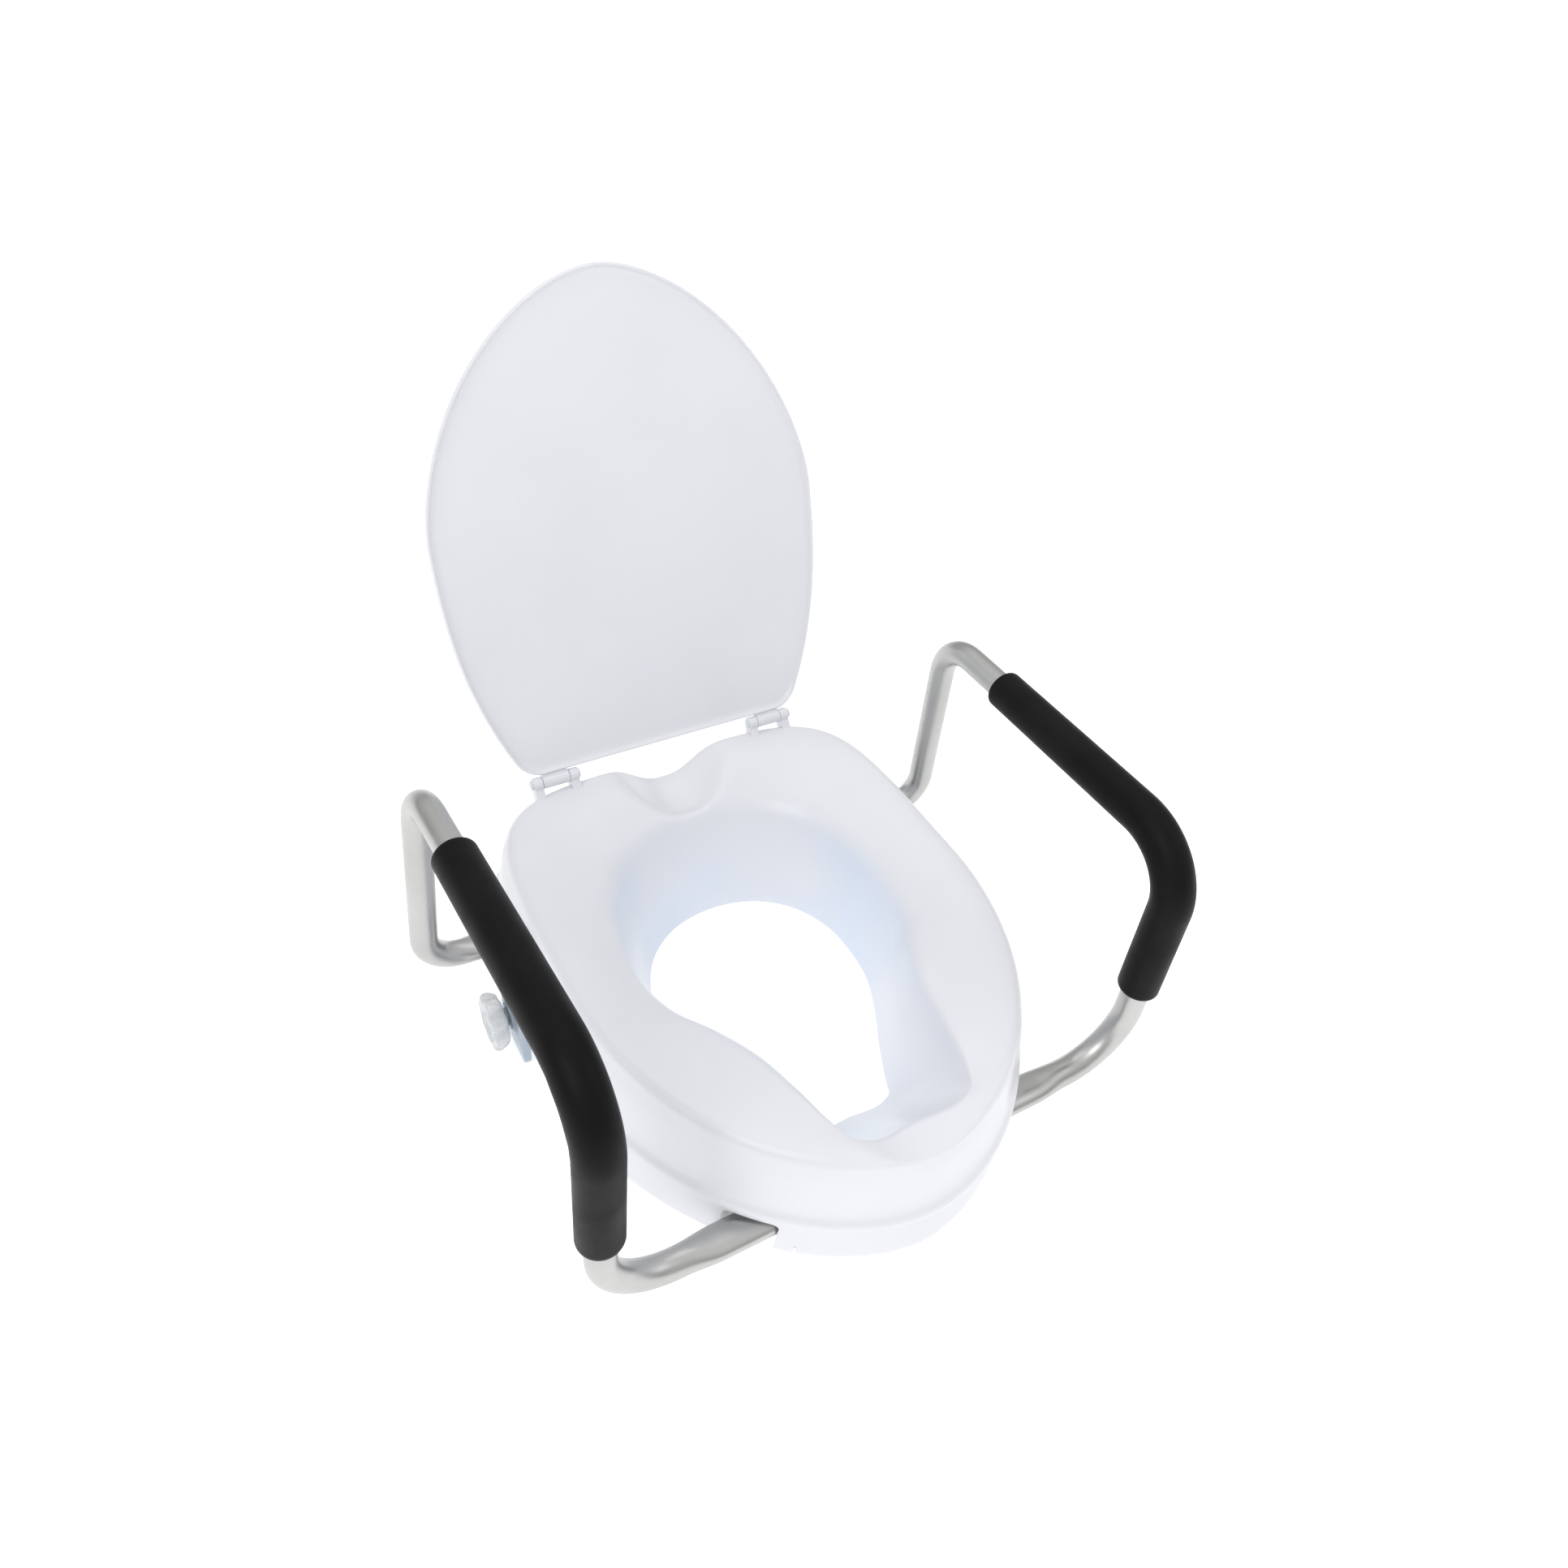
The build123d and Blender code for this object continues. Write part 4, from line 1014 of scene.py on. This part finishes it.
for word, side in SIDES:
    for piece, material, slot, body, kind in (
        (build_bracket(side, word), clamp_milky, "clamp_plastic", "bracket", "clamp_bracket"),
        (build_knob(side, word), knob_milky, "milky_plastic", "screw", "clamp_knob"),
        (build_screw(side, word), clamp_milky, "clamp_plastic", "screw", "clamp_screw"),
        (build_pad(side, word), pad_grey, "grey_rubber", "pad", "clamp_pad"),
        (build_pad_foot(side, word), clamp_milky, "clamp_plastic", "pad", "pad_foot"),
    ):
        finish_piece(piece, material, slot, f"{body}_{word}", f"{kind}_{word}")

# ---- carried-over CAD nodes -----------------------------------------------------------------
carried = {}
for word, _ in SIDES:
    carried[f"bracket_bolt_{word}"] = steel
    for end in ("front", "rear"):
        carried[f"tube_plug_{end}_{word}"] = plug_black
        carried[f"tube_strap_{end}_{word}"] = steel
    for end in ("front", "side", "rear"):
        carried[f"rest_pad_{end}_{word}"] = pad_grey
carried["strap_screws"] = steel
for node, material in carried.items():
    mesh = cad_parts[node].data
    mesh.materials.clear()
    mesh.materials.append(material)

# ---- floor, light and camera ----------------------------------------------------------------
FLOOR_SIZE, FLOOR_GAP = 400.0, 0.001     # metres
floor_z = cad_box[0].z - FLOOR_GAP
bpy.ops.mesh.primitive_plane_add(size=FLOOR_SIZE, location=(0, 0, floor_z))
floor = bpy.context.object
floor.name = "floor"
floor_finish = Finish("floor_paper", Roughness=0.9)
floor_finish.shader.inputs["Emission Color"].default_value = (1, 1, 1, 1)
floor_finish.shader.inputs["Emission Strength"].default_value = 0.45
floor_finish.shader.inputs["Specular IOR Level"].default_value = 0.1
floor_finish.colour(
    floor_finish.ramp(floor_finish.noise(3.0, 2.0), (0.90, 0.90, 0.90, 1), (0.91, 0.91, 0.91, 1))
)
floor.data.materials.append(floor_finish.material)

world = bpy.data.worlds.new("studio")
bpy.context.scene.world = world
world.use_nodes = True
sky = world.node_tree
sky.nodes["Background"].inputs["Strength"].default_value = 0.87
direction = sky.nodes.new("ShaderNodeTexCoord")
split = sky.nodes.new("ShaderNodeSeparateXYZ")
fade = sky.nodes.new("ShaderNodeValToRGB")
sky.links.new(direction.outputs["Generated"], split.inputs["Vector"])
sky.links.new(split.outputs["Z"], fade.inputs["Fac"])
sky.links.new(fade.outputs["Color"], sky.nodes["Background"].inputs["Color"])
# grey at the horizon, so that the tubes have something to mirror, and white overhead
horizon, overhead = fade.color_ramp.elements
horizon.position, horizon.color = 0.05, (0.42, 0.42, 0.43, 1)
overhead.position, overhead.color = 0.75, (1.0, 1.0, 1.0, 1)


def area_light(name, place, aim, size, power, colour=(1, 1, 1)):
    """Rectangular lamp at place, turned to aim; metres and watts."""
    data = bpy.data.lights.new(name, "AREA")
    data.shape = "RECTANGLE"
    data.size, data.size_y = size
    data.energy = power
    data.color = colour
    lamp = bpy.data.objects.new(name, data)
    bpy.context.scene.collection.objects.link(lamp)
    lamp.location = place
    lamp.rotation_mode = "QUATERNION"
    lamp.rotation_quaternion = (Vector(aim) - Vector(place)).to_track_quat("-Z", "Y")
    return lamp


area_light("key", (-1.7, -1.0, 2.2), (0, 0, 0.1), (1.6, 1.6), 19.0)
area_light("fill", (1.8, -1.0, 1.6), (0, 0, 0.1), (1.4, 1.4), 5.0, (0.96, 0.98, 1.0))
area_light("overhead", (0.2, 0.8, 2.6), (0, 0.1, 0.1), (2.2, 1.4), 7.0)

view = bpy.context.scene.view_settings
view.view_transform = "Standard"
view.look = "None"

CAMERA_PLACE = Vector((-0.3598, -0.5178, 0.8307))     # metres
SENSOR, LENS = 36.0, 27.45
SHIFT_X, SHIFT_Y = -0.0099, -0.0305
AZIMUTH, ELEVATION, ROLL = (math.radians(a) for a in (-33.98, 39.6, 6.65))
back = Vector((
    math.sin(AZIMUTH) * math.cos(ELEVATION),
    -math.cos(AZIMUTH) * math.cos(ELEVATION),
    math.sin(ELEVATION),
))
level = Vector((math.cos(AZIMUTH), math.sin(AZIMUTH), 0))
upright = back.cross(level)
right = level * math.cos(ROLL) + upright * math.sin(ROLL)
up = upright * math.cos(ROLL) - level * math.sin(ROLL)
camera_data = bpy.data.cameras.new("camera")
camera_data.sensor_width = SENSOR
camera_data.lens = LENS
camera_data.shift_x = SHIFT_X
camera_data.shift_y = SHIFT_Y
camera_data.clip_start = 0.01
camera_data.clip_end = 60.0
camera = bpy.data.objects.new("camera", camera_data)
bpy.context.scene.collection.objects.link(camera)
turn = Matrix((right, up, back)).transposed()
camera.matrix_world = Matrix.Translation(CAMERA_PLACE) @ turn.to_4x4()
bpy.context.scene.camera = camera
